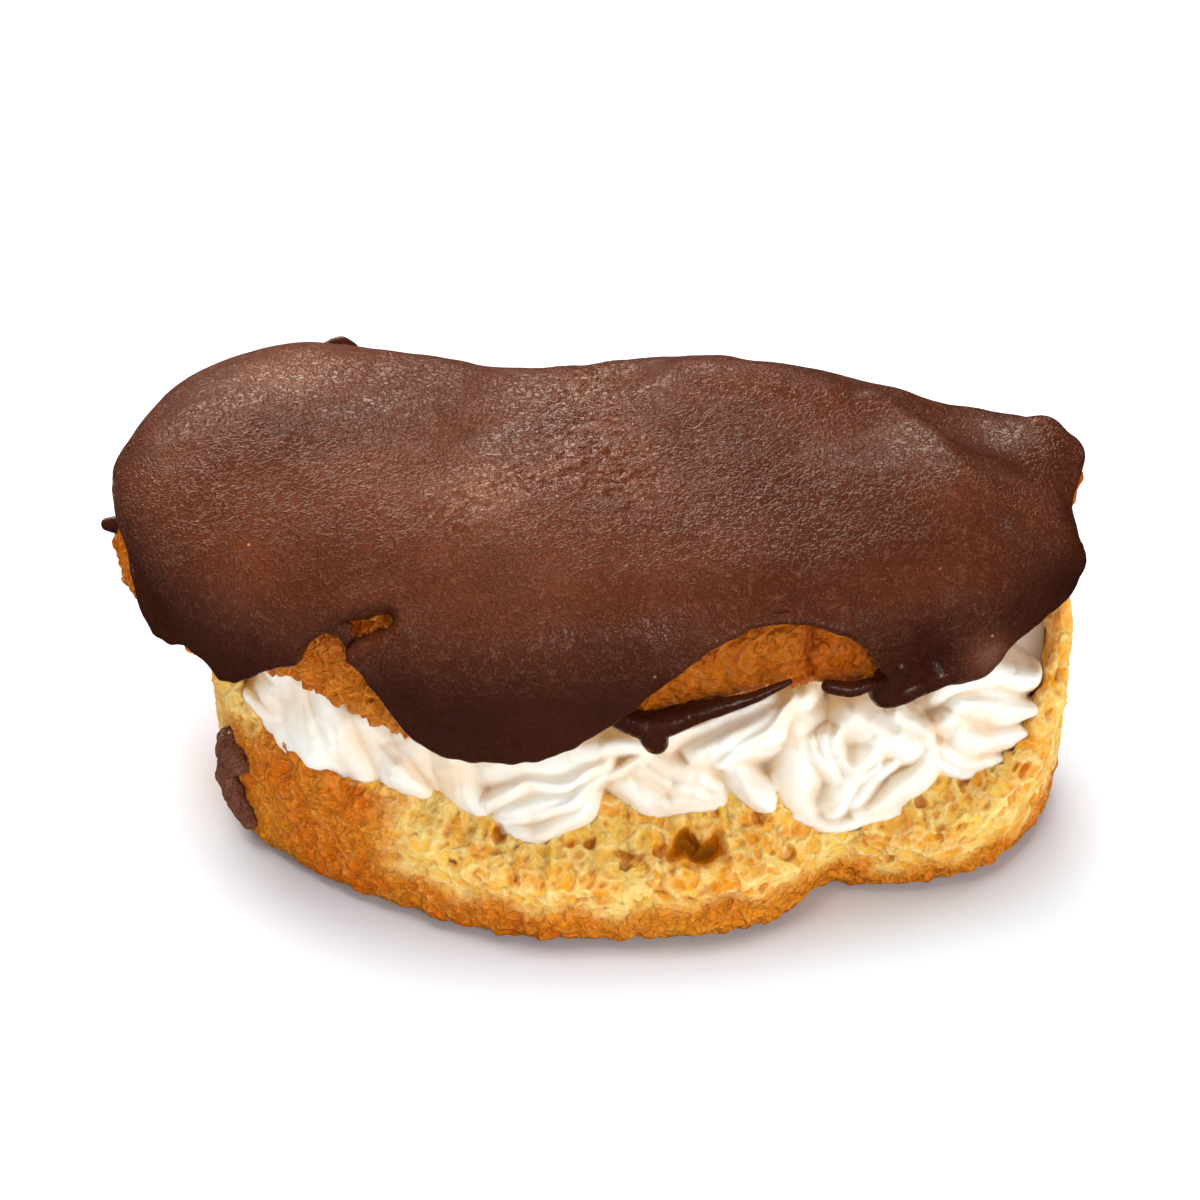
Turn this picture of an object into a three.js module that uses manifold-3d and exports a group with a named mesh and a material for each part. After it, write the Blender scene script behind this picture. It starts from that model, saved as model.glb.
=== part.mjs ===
// A chocolate eclair, cut open lengthwise and filled: a boat of choux pastry, piped whipped cream,
// the upper half of the choux, and the chocolate icing that runs down over its sides.
// Millimetres, +Z up, +X along the eclair, and the side that gapes open faces -Y.
// Every piece is a closed skin over a stack of rings, and each ring goes once round the eclair.
import * as THREE from "three";
import { mergeVertices } from "three/addons/utils/BufferGeometryUtils.js";
import Module from "manifold-3d";

const wasm = await Module();
wasm.setup();

// ---- Driving sizes ----------------------------------------------------------------------------
const CLEARANCE = 0.35; // left between two pieces that touch
const SUNK = 0.8; // how far a piece reaches into another before that one is cut out of it
const ROUND_LID = 84; // points in a ring of the lid and of the icing
const ROUND_BASE = 76; // points in a ring of the base

const BASE_FLAT = 0.72; // share of the base's width that stands flat on the tray
const BASE_FLOOR = 6; // top of the base's floor, inside
const BELLY = 6.5; // height at which the base is widest
const FLARE = 1.2; // how far the base's wall leans out above its belly
const CROWN = 58.3; // height of the lid's top before its swells
const LID_SQUARE = 2.5; // 2 makes the lid's section an ellipse, more makes it boxier
const SHOULDER = 34; // length of the lid's skin from its spine to its widest outline
const ICING = 2.1; // thickness of the chocolate
const SPINE = 0.62; // rings shrink towards a spine this long, as a share of the length

// Stations round the base, from the middle of the front, anticlockwise as seen from above.
// x and y are the widest outline, rim the height of the torn edge, lip how far the crumb slopes in.
const BASE_STATIONS = [
  { x: 2, y: -30.4, rim: 13, lip: 9 },
  { x: 15, y: -29.9, rim: 13, lip: 9 },
  { x: 25, y: -26, rim: 12.5, lip: 6 },
  { x: 33, y: -19.4, rim: 12, lip: 4 },
  { x: 43, y: -19.4, rim: 12.5, lip: 6 },
  { x: 54, y: -16.8, rim: 15, lip: 7 },
  { x: 61.5, y: -8, rim: 22, lip: 5 },
  { x: 63.6, y: 3, rim: 33, lip: 3.6 },
  { x: 59, y: 14, rim: 34, lip: 3.6 },
  { x: 44, y: 21, rim: 33.5, lip: 3.6 },
  { x: 25, y: 24.4, rim: 33, lip: 3.6 },
  { x: 5, y: 25.4, rim: 32.5, lip: 3.6 },
  { x: -16, y: 24.4, rim: 32.5, lip: 3.6 },
  { x: -34, y: 20, rim: 33, lip: 3.6 },
  { x: -45.4, y: 11, rim: 33.5, lip: 3.6 },
  { x: -49.2, y: 0, rim: 32, lip: 3.6 },
  { x: -45.8, y: -9.4, rim: 27, lip: 3.6 },
  { x: -36.5, y: -18.8, rim: 22, lip: 4 },
  { x: -24, y: -25.2, rim: 18, lip: 6 },
  { x: -11, y: -29.6, rim: 14, lip: 8 },
];

// Stations round the lid, in the same order. mid is the height at which it is widest, under that
// of its cut edge, and reach how far below mid the icing runs.
const LID_STATIONS = [
  { x: 0, y: -27.6, mid: 44.5, under: 35, reach: 3.5 },
  { x: 14, y: -26.8, mid: 46, under: 39.4, reach: 2.5 },
  { x: 27, y: -25, mid: 47, under: 41.4, reach: 2.5 },
  { x: 38, y: -23, mid: 46.5, under: 39.5, reach: 3 },
  { x: 50, y: -17.5, mid: 46, under: 40, reach: 5 },
  { x: 60, y: -8, mid: 46.5, under: 38, reach: 3 },
  { x: 60.6, y: 2, mid: 48, under: 36.5, reach: 0.5 },
  { x: 63, y: 12.4, mid: 48, under: 36, reach: 1.5 },
  { x: 56.5, y: 18.6, mid: 47.5, under: 36, reach: 4 },
  { x: 42, y: 21, mid: 49.5, under: 36, reach: 7 },
  { x: 26, y: 23.6, mid: 51, under: 36, reach: 9 },
  { x: 10, y: 25, mid: 52, under: 36, reach: 8 },
  { x: -8, y: 24, mid: 50.5, under: 36, reach: 6 },
  { x: -26, y: 26.4, mid: 51.5, under: 36, reach: 8 },
  { x: -42, y: 27, mid: 51.5, under: 36, reach: 10 },
  { x: -54, y: 19.4, mid: 50.5, under: 36, reach: 6 },
  { x: -60, y: 8, mid: 47.5, under: 36, reach: 3 },
  { x: -57.8, y: -4.4, mid: 46.5, under: 36, reach: 5.5 },
  { x: -49.6, y: -14.8, mid: 46, under: 36, reach: 5.5 },
  { x: -38, y: -21.4, mid: 45.5, under: 38.5, reach: 3.5 },
  { x: -26, y: -25.2, mid: 44.5, under: 32.5, reach: 4 },
  { x: -13, y: -27.8, mid: 44, under: 31.5, reach: 4 },
];

// Where the icing hangs lower than the edge on either side of it, or stays short of it: the place
// on the rim, the half width, and how much lower it hangs.
const RUNS = [
  { x: -11.5, y: -28, half: 14.5, drop: 7 },
  { x: 24.5, y: -25.4, half: 13, drop: -11.5 },
  { x: 38.6, y: -22.8, half: 3.4, drop: 7.5 },
  { x: -31.6, y: -23.6, half: 3.6, drop: -9 },
  { x: -45, y: -18, half: 4.5, drop: 3 },
  { x: 62, y: 8, half: 6, drop: -2.5 },
  { x: 18, y: 24.4, half: 5, drop: 4 },
  { x: -16, y: 24.6, half: 4, drop: 3 },
];

// Swells and hollows in the lid's top: the middle, the half lengths along X and Y, and the height.
const SWELLS = [
  { x: -40, y: 8, long: 18, wide: 20, height: 2.4 },
  { x: -7, y: 14, long: 10, wide: 16, height: -2 },
  { x: 19, y: 14, long: 17, wide: 13, height: 2.6 },
  { x: -12, y: -16, long: 16, wide: 9, height: 1.2 },
  { x: 54, y: 16, long: 18, wide: 14, height: -5.4 },
  { x: 44, y: -6, long: 14, wide: 6, height: 1.2 },
];

// Piped strands of cream that show along the open side, each a C that comes out from under the
// lid and goes back in over the base. front is how far it comes out and lean how far along it runs.
const CREAM_STRANDS = [
  { x: -37, front: 20.5, top: 38, foot: 17, radius: 7, lean: 10 },
  { x: -25, front: 23.5, top: 35, foot: 15, radius: 7.5, lean: 12 },
  { x: -8, front: 27.5, top: 35, foot: 10, radius: 10, lean: -5 },
  { x: 14, front: 26.4, top: 37, foot: 11.5, radius: 10.5, lean: 9 },
  { x: 34, front: 24.4, top: 38, foot: 12.5, radius: 10, lean: 8 },
  { x: 52, front: 17.6, top: 38, foot: 15, radius: 8, lean: 7 },
];
const CREAM_RIDGES = 6; // grooves the star nozzle leaves round a strand
const BED_BACK = 1.5; // how far the cream behind them stands back from the base, in lips

// Ropes of chocolate on the edge of the icing, the gash where its skin did not close, and the smear
// on the base's left end: the points they run through, each with a radius.
const ICING_ROPES = [
  [[-1, -27.6, 38, 2.4], [8, -28, 38.6, 1.7], [16, -27.4, 41.4, 1.3], [25, -25.6, 43.3, 0.8]],
  [[8, -27.9, 39, 2.1], [8.2, -28.2, 37.4, 2.2], [8.4, -28.2, 36.2, 2]],
  [[29, -25.4, 41.8, 1], [33.5, -25, 41.3, 1.5], [39, -24.4, 41.2, 2]],
  [[-59, 6.4, 45.6, 1.6], [-61.6, 6, 45.8, 1.5], [-63, 5.6, 46.2, 1.4]],
  [[-36, 26, 55, 1.8], [-33.6, 26.8, 55.8, 1.6], [-31, 26, 55, 1.4]],
  [[60, -4, 45.4, 1.9], [61.8, -2.6, 45.6, 1.7], [63, -1.6, 46, 1.4]],
];
const GASH = [[-32, -25.2, 48.6, 2], [-30.4, -24.8, 51.6, 1.8], [-28, -24.2, 54, 1.5], [-25.6, -23.8, 55.2, 1]];
const SMEAR = [[-49.6, -2, 23, 1.2], [-49, -5.4, 18.5, 1.6], [-47, -8.8, 13.5, 1.6], [-44, -12, 8.5, 1.2]];

// ---- Rings and skins --------------------------------------------------------------------------

// The value of a Catmull-Rom curve between b and c, at a share f of the way.
function between(a, b, c, d, f) {
  return b + 0.5 * f * (c - a + f * (2 * a - 5 * b + 4 * c - d + f * (3 * (b - c) + d - a)));
}

// Stations at equal steps along the outline, each with its outward direction in plan.
function walkRound(stations, count) {
  const FINE = 20;
  const n = stations.length;
  const at = (t) => {
    const i = Math.floor(t);
    const near = [-1, 0, 1, 2].map((k) => stations[(i + k + n) % n]);
    const value = (key) => between(...near.map((station) => station[key]), t - i);
    return Object.fromEntries(Object.keys(stations[0]).map((key) => [key, value(key)]));
  };
  const distance = [0];
  for (let i = 1; i <= n * FINE; i++) {
    const [p, q] = [at((i - 1) / FINE), at(i / FINE)];
    distance.push(distance[i - 1] + Math.hypot(q.x - p.x, q.y - p.y));
  }
  const walked = [];
  for (let k = 0, i = 1; k < count; k++) {
    const wanted = (distance.at(-1) * k) / count;
    while (distance[i] < wanted) i++;
    const t = (i - (distance[i] - wanted) / (distance[i] - distance[i - 1])) / FINE;
    const [p, q] = [at(t - 0.05), at(t + 0.05)];
    const length = Math.hypot(q.x - p.x, q.y - p.y);
    walked.push({ ...at(t), outX: (q.y - p.y) / length, outY: (p.x - q.x) / length });
  }
  return walked;
}

// A point at a share of the way from the spine to the outline, moved outwards by a margin.
function inPlan(station, share, margin = 0) {
  const x = station.x + station.outX * margin;
  const y = station.y + station.outY * margin;
  const spineX = station.x * SPINE;
  return [spineX + (x - spineX) * share, y * share];
}

// A closed skin over rings of points, which run anticlockwise about the way the rings follow.
// The first and last rings are closed by a ladder of rungs from their right end to their left.
function skin(rings) {
  const count = rings[0].length;
  const index = [];
  for (let r = 0; r + 1 < rings.length; r++) {
    for (let k = 0; k < count; k++) {
      const [a, b] = [r * count + k, r * count + ((k + 1) % count)];
      index.push(a, b, a + count, b, b + count, a + count);
    }
  }
  const ladder = (ring, start, facesOn) => {
    const right = ring.reduce((best, point, k) => (point[0] > ring[best][0] ? k : best), 0);
    const at = (k) => start + ((right + k + count) % count);
    const face = (a, b, c) => (facesOn ? index.push(a, b, c) : index.push(a, c, b));
    for (let k = 0; 2 * k + 1 < count; k++) {
      if (k > 0) face(at(-k - 1), at(-k), at(k));
      if (2 * k + 2 < count) face(at(-k - 1), at(k), at(k + 1));
    }
  };
  ladder(rings[0], 0, false);
  ladder(rings.at(-1), (rings.length - 1) * count, true);
  const geometry = new THREE.BufferGeometry();
  geometry.setAttribute("position", new THREE.Float32BufferAttribute(rings.flat(2), 3));
  return geometry.setIndex(index);
}

// A rope through points that each have a radius, with rounded ends and ridges round it.
function rope(knots, steps, count, ridges = 0) {
  const DEPTH = 0.07; // of the ridges, as a share of the radius
  const last = knots.length - 1;
  const at = (t) => {
    const i = Math.min(Math.floor(t), last - 1);
    const near = [-1, 0, 1, 2].map((k) => knots[Math.min(Math.max(i + k, 0), last)]);
    return knots[0].map((_, axis) => between(...near.map((knot) => knot[axis]), t - i));
  };
  const rings = [];
  const ringAt = (t, share, beyond) => {
    const [x, y, z, radius] = at(t);
    const [before, after] = [at(Math.max(t - 0.05, 0)), at(Math.min(t + 0.05, last))];
    const along = new THREE.Vector3(...after).sub(new THREE.Vector3(...before)).normalize();
    const across = Math.abs(along.x) > 0.8 ? new THREE.Vector3(0, 1, 0) : new THREE.Vector3(1, 0, 0);
    const side = across.cross(along).normalize();
    const other = along.clone().cross(side);
    const centre = new THREE.Vector3(x, y, z).addScaledVector(along, beyond * radius);
    const ring = [];
    for (let k = 0; k < count; k++) {
      const angle = (2 * Math.PI * k) / count;
      const size = radius * share * (1 + DEPTH * Math.cos(ridges * angle) * Math.sign(ridges));
      const point = centre.clone().addScaledVector(side, size * Math.cos(angle));
      ring.push(point.addScaledVector(other, size * Math.sin(angle)).toArray());
    }
    rings.push(ring);
  };
  ringAt(0, 0.5, -0.85);
  for (let i = 0; i <= steps; i++) ringAt((last * i) / steps, 1, 0);
  ringAt(last, 0.5, 0.85);
  return skin(rings);
}

// ---- Solids for joining and cutting -----------------------------------------------------------

function solid(geometry) {
  const merged = mergeVertices(geometry, 1e-4);
  return new wasm.Manifold(
    new wasm.Mesh({
      numProp: 3,
      vertProperties: new Float32Array(merged.attributes.position.array),
      triVerts: new Uint32Array(merged.index.array),
    }),
  );
}

// The largest body of a solid, as a geometry: a cut can leave loose scraps beside it.
function geometryOf(made) {
  const largest = made.decompose().sort((a, b) => b.volume() - a.volume())[0];
  const { vertProperties, triVerts } = largest.simplify(0.02).getMesh();
  const geometry = new THREE.BufferGeometry();
  geometry.setAttribute("position", new THREE.BufferAttribute(vertProperties, 3));
  return geometry.setIndex(new THREE.BufferAttribute(triVerts, 1));
}

// ---- The base: a boat of choux with a low torn front and high ends and back -------------------

const baseStations = walkRound(BASE_STATIONS, ROUND_BASE);

function baseRings(margin = 0) {
  const ring = (share, height, out = 0) =>
    baseStations.map((s) => [...inPlan(s, share, margin + out), height(s)]);
  const wall = (s, up) => BELLY + (s.rim - BELLY) * up;
  const inward = (depth, height) =>
    baseStations.map((s) => [...inPlan(s, 1, FLARE - s.lip * depth - margin), height(s) + margin]);
  return [
    ring(0.1, () => -margin),
    ring(BASE_FLAT, () => -margin),
    ring(0.9, () => 0.6 - margin),
    ring(0.97, () => 2.6 - margin),
    ring(1, () => BELLY),
    ...[0.4, 0.8].map((up) => ring(1, (s) => wall(s, up), FLARE * up)),
    inward(0.25, (s) => s.rim),
    inward(0.6, (s) => s.rim - 0.4),
    inward(1, (s) => wall(s, 0.7)),
    inward(1.3, (s) => BASE_FLOOR + (s.rim - BASE_FLOOR) * 0.25),
    ring(0.55, () => BASE_FLOOR + margin),
    ring(0.1, () => BASE_FLOOR + margin),
  ];
}

// ---- The lid and its icing --------------------------------------------------------------------

const lidStations = walkRound(LID_STATIONS, ROUND_LID);

function crownHeight(x, y) {
  return SWELLS.reduce(
    (z, s) => z + s.height * Math.exp(-(((x - s.x) / s.long) ** 2) - ((y - s.y) / s.wide) ** 2),
    CROWN,
  );
}

// A point of the lid's skin. turn is 0 on the spine of the top, 0.5 at the widest outline and 1
// on the spine of the cut face; margin moves it outwards.
function onLid(station, turn, margin = 0) {
  const angle = Math.PI * turn;
  const share = Math.sin(angle) ** (2 / LID_SQUARE);
  const level = Math.abs(Math.cos(angle)) ** (2 / LID_SQUARE);
  const [x, y] = inPlan(station, share, margin);
  const end = turn < 0.5 ? crownHeight(x, y) + margin : station.under - margin;
  return [x, y, station.mid + (end - station.mid) * level];
}

function lidRings(margin = 0) {
  const turns = [0.98, 0.8, 0.7, 0.6, 0.5, 0.43, 0.36, 0.29, 0.22, 0.15, 0.08, 0.02];
  return turns.map((turn) => lidStations.map((s) => onLid(s, turn, margin)));
}

// How far below the widest outline the icing's edge is at a station.
function reachAt(station) {
  return RUNS.reduce((reach, run) => {
    const away = Math.hypot(station.x - run.x, station.y - run.y) / run.half;
    return reach + run.drop * Math.exp(-(away ** 4));
  }, station.reach);
}

// A point of the icing at a distance below the widest outline: it lies on the lid above that
// outline, and hangs straight down below it.
function hanging(station, below, margin) {
  if (below <= 0) return onLid(station, 0.5 * (1 + below / SHOULDER), margin);
  const [x, y] = inPlan(station, 1, margin);
  return [x, y, station.mid - below];
}

function icingRings() {
  const START = -10.5; // where the sides begin, above the widest outline
  const top = (turn, margin) => lidStations.map((s) => onLid(s, turn, margin));
  const side = (part, margin) =>
    lidStations.map((s) => hanging(s, START + (reachAt(s) - START) * part, margin));
  const outside = (part) => CLEARANCE + ICING * Math.sqrt(1 - part ** 8);
  const turns = [0.02, 0.08, 0.15, 0.22, 0.29];
  return [
    ...turns.map((turn) => top(turn, -SUNK)),
    ...[0, 0.5, 0.95].map((part) => side(part, 0)),
    ...[0.99, 0.9, 0.78, 0.6, 0.4, 0.2, 0].map((part) => side(part, outside(part))),
    ...turns.toReversed().map((turn) => top(turn, CLEARANCE + ICING)),
  ];
}

// ---- The cream: piped strands along the open side, and the bed behind them --------------------

function strandGeometry({ x, front, top, foot, radius, lean }) {
  const knots = [0, 0.25, 0.5, 0.75, 1].map((t) => {
    const out = Math.sin(Math.PI * (0.08 + 0.84 * t));
    const size = radius * (0.75 + 0.25 * out);
    return [x + lean * (t - 0.5), (radius - front) * out, foot + (top - foot) * (1 - t), size];
  });
  return rope(knots, 8, 3 * CREAM_RIDGES, CREAM_RIDGES);
}

function creamBedRings() {
  const ring = (back, height) =>
    baseStations.map((s) => [...inPlan(s, 1, -s.lip * BED_BACK - back), height]);
  return [ring(2, BASE_FLOOR - SUNK), ring(0, 14), ring(0, 36), ring(5, 46)];
}

// ---- Assembly ---------------------------------------------------------------------------------

const base = solid(skin(baseRings())).add(solid(rope(SMEAR, 6, 8)));
const lid = skin(lidRings());
const lidRoom = solid(skin(lidRings(CLEARANCE)));
const baseRoom = solid(skin(baseRings(CLEARANCE)));
const icing = ICING_ROPES.reduce(
  (body, knots) => body.add(solid(rope(knots, 6, 8))),
  solid(skin(icingRings())),
).subtract(lidRoom).subtract(solid(rope(GASH, 6, 8)));
const cream = CREAM_STRANDS.reduce(
  (body, strand) => body.add(solid(strandGeometry(strand))),
  solid(skin(creamBedRings())),
).subtract(lidRoom).subtract(baseRoom).subtract(base);

function material(colour, roughness) {
  return new THREE.MeshStandardMaterial({ color: colour, roughness, metalness: 0 });
}

const eclair = new THREE.Group();

function addNode(name, geometry, look) {
  const mesh = new THREE.Mesh(geometry, look);
  mesh.name = name;
  eclair.add(mesh);
}

addNode("base_bun", geometryOf(base), material(0xd9962f, 0.6));
addNode("cream", geometryOf(cream), material(0xf3e6d3, 0.5));
addNode("lid_bun", lid, material(0xc9761b, 0.55));
addNode("icing", geometryOf(icing), material(0x4a271b, 0.35));

// The underside's middle is put on the origin.
const box = new THREE.Box3().setFromObject(eclair);
const centre = box.getCenter(new THREE.Vector3());
eclair.children.forEach((mesh) => mesh.geometry.translate(-centre.x, -centre.y, -box.min.z));

export default eclair;
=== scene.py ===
# %% [markdown]
# # A chocolate eclair, cut open and filled with piped cream
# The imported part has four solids: the base of choux pastry, the cream, the lid of choux pastry
# and the chocolate icing. It is loaded first and never changed. Each solid then gets a detailed
# piece of the same size, in the same place, that is shown instead of it.

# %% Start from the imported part
import math

import bpy
import numpy as np
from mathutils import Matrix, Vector


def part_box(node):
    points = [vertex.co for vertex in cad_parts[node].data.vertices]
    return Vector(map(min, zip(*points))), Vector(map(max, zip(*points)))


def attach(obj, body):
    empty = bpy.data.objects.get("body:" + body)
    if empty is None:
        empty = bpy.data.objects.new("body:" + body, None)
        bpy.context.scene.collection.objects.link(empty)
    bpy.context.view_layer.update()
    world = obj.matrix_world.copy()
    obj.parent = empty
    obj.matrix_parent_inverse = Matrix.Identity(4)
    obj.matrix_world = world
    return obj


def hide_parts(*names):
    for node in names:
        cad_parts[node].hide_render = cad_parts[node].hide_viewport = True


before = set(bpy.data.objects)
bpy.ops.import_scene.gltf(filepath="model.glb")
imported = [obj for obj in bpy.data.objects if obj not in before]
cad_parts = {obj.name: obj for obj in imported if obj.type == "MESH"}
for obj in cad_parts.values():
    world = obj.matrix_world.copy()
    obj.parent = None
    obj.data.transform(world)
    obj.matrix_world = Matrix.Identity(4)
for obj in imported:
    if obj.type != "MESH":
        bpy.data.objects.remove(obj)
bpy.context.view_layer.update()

# %% [markdown]
# ## Curves and skins
# Pastry has no straight lines, so every piece starts from a short table of stations. A smooth
# curve runs through the table's rows, and the piece's surface is a stack of rings, each of which
# goes once round the eclair. Sculpting by hand would give such shapes too, but a table can be
# measured, and a stack of rings keeps the faces small and even. Lengths are in millimetres
# until a mesh is made.

# %% A smooth curve through the rows of a table
MM = 0.001  # a millimetre, in Blender's metres


def ease(value, low, high):
    """0 below low, 1 above high, and an easy curve between them."""
    t = np.clip((value - low) / (high - low), 0, 1)
    return t * t * (3 - 2 * t)


def through(rows, t, closed):
    """Points of a smooth curve through the rows, at t counted in rows."""
    rows = np.asarray(rows, float)
    n = len(rows)
    i = np.floor(t).astype(int)
    if not closed:
        i = np.clip(i, 0, n - 2)
    f = (t - i)[:, None]
    near = [(i + k) % n if closed else np.clip(i + k, 0, n - 1) for k in (-1, 0, 1, 2)]
    a, b, c, d = (rows[k] for k in near)
    return b + 0.5 * f * (c - a + f * (2 * a - 5 * b + 4 * c - d + f * (3 * (b - c) + d - a)))


# %% Stations round an outline
FINE = 60  # pieces of a curve from one row to the next, to measure its length
NUDGE = 0.05  # rows to either side of a point, to find the way the curve runs


def walk_round(rows, count, front=1.0):
    """Stations round a closed outline and their outward directions, front times closer at -Y."""
    t = np.linspace(0, len(rows), FINE * len(rows) + 1)
    path = through(rows, t, True)
    step = np.hypot(*np.diff(path[:, :2], axis=0).T)
    step *= front + (1 - front) * ease(path[:-1, 1], -4, 8)
    distance = np.concatenate([[0], np.cumsum(step)])
    t = np.interp(np.arange(count) / count * distance[-1], distance, t)
    along = through(rows, t + NUDGE, True) - through(rows, t - NUDGE, True)
    out = np.stack([along[:, 1], -along[:, 0]], 1)
    out /= np.linalg.norm(out, axis=1)[:, None]
    return through(rows, t, True), out


SPINE = 0.62  # rings shrink towards a spine this long, as a share of the length


def in_plan(here, out, share, margin):
    """x and y at a share of the way from the spine to the outline, moved outwards by margin."""
    x = here[:, 0] + out[:, 0] * margin
    y = here[:, 1] + out[:, 1] * margin
    spine = here[:, 0] * SPINE
    return spine + (x - spine) * share, y * share


# %% From rings to a closed mesh
def added(name, data):
    """A new object with this data, in the scene."""
    made = bpy.data.objects.new(name, data)
    bpy.context.scene.collection.objects.link(made)
    return made


def mesh_object(name, points, faces):
    """An object in the scene with these points, in millimetres, and faces, shaded smooth."""
    mesh = bpy.data.meshes.new(name)
    mesh.from_pydata((np.asarray(points) * MM).tolist(), [], faces)
    mesh.polygons.foreach_set("use_smooth", [True] * len(mesh.polygons))
    return added(name, mesh)


def zipped(ring, start):
    """Triangles across a flat ring, laced from its right end to its left like a zip."""
    count, x = len(ring), ring[:, 0]
    right, left = int(x.argmax()), int(x.argmin())
    front = [(right - k) % count for k in range((right - left) % count + 1)]
    back = [(right + k) % count for k in range((left - right) % count + 1)]
    faces, i, j = [], 0, 0
    while i + 1 < len(front) or j + 1 < len(back):
        if j + 1 == len(back) or (i + 1 < len(front) and x[front[i + 1]] >= x[back[j + 1]]):
            face, i = (front[i + 1], front[i], back[j]), i + 1
        else:
            face, j = (front[i], back[j], back[j + 1]), j + 1
        if len(set(face)) == 3:
            faces.append([start + k for k in face])
    return faces


def ring_faces(rings):
    """Faces over a stack of rings, closed at the first and the last ring."""
    rows, count = rings.shape[:2]
    start = np.arange(rows - 1)[:, None] * count
    a = (start + np.arange(count)).ravel()
    b = (start + (np.arange(count) + 1) % count).ravel()
    faces = np.stack([a, b, b + count, a + count], 1).tolist()
    faces += [face[::-1] for face in zipped(rings[0], 0)]
    return faces + zipped(rings[-1], (rows - 1) * count)


def skin(name, rings):
    """An object whose surface is a stack of rings."""
    return mesh_object(name, rings.reshape(-1, 3), ring_faces(rings))


def between(rings, t):
    """Rings of a smooth surface through a few rings, at t counted in rings."""
    return through(rings.reshape(len(rings), -1), t, False).reshape(len(t), -1, 3)


def note(made, **numbers):
    """Keeps numbers for each point of the mesh, for the relief and the materials to read."""
    for name, values in numbers.items():
        values = np.full(len(made.data.vertices), np.ravel(values), np.float32)
        made.data.attributes.new(name, "FLOAT", "POINT").data.foreach_set("value", values)


# %% Nearness to a line of places
def beside(points, a, b):
    """How far along from a to b, 0 to 1, each point is nearest, and the way to it from there."""
    along = b - a
    share = np.clip((points - a) @ along / max(along @ along, 1e-9), 0, 1)
    return share, points - a - share[..., None] * along


def near(points, line, width):
    """1 at a place or along a line of places, and nearly 0 from twice the width away."""
    line = np.atleast_2d(np.asarray(line, float))
    pairs = zip(line, [*line[1:], line[-1]])
    gap = np.min([np.linalg.norm(beside(points, a, b)[1], axis=-1) for a, b in pairs], 0)
    return np.exp(-((gap / width) ** 2))


def wobble(t, waves, seed):
    """An uneven wave round a closed ring: t runs from 0 to 1, waves are the counts of ripples."""
    rng = np.random.default_rng(seed)
    turns = [np.sin(2 * np.pi * (n * t + rng.random())) * rng.uniform(0.5, 1) for n in waves]
    return sum(turns) / math.sqrt(len(waves))


# %% [markdown]
# ## Nodes written as plain sums
# Blender's Geometry Nodes shape the fine relief and its shader nodes colour it. Wiring them by
# hand in a script is long, so a small class stands for a node's output: adding, multiplying or
# limiting it adds the Math node that does so. The same class serves both kinds of tree. Colours
# are given as they look on a screen, from 0 to 255, and turned into the linear values of light.

# %% A node's output that can be used in sums
class Value:
    """One output of a node. Sums with it add Math nodes to its tree."""

    def __init__(self, tree, socket):
        self.tree, self.socket = tree, socket

    def math(self, operation, *values):
        return self.tree.node("ShaderNodeMath", {"operation": operation}, dict(enumerate(values)))

    def __add__(self, other):
        return self.math("ADD", self, other)

    def __sub__(self, other):
        return self.math("SUBTRACT", self, other)

    def __rsub__(self, other):
        return self.math("SUBTRACT", other, self)

    def __mul__(self, other):
        return self.math("MULTIPLY", self, other)

    __radd__, __rmul__ = __add__, __mul__

    def size(self):
        return self.math("ABSOLUTE", self)

    def ease(self, low, high, start=0, end=1):
        """start below low, end above high, and an easy curve between them."""
        limits = {"Value": self, "From Min": low, "From Max": high, "To Min": start, "To Max": end}
        return self.tree.node("ShaderNodeMapRange", {"interpolation_type": "SMOOTHSTEP"}, limits)


# %% Colours
def paint(red, green, blue):
    """A screen colour as the linear red, green, blue and opacity that a node takes."""
    share = np.array([red, green, blue]) / 255
    linear = np.where(share <= 0.04045, share / 12.92, ((share + 0.055) / 1.055) ** 2.4)
    return (*linear.tolist(), 1.0)


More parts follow.
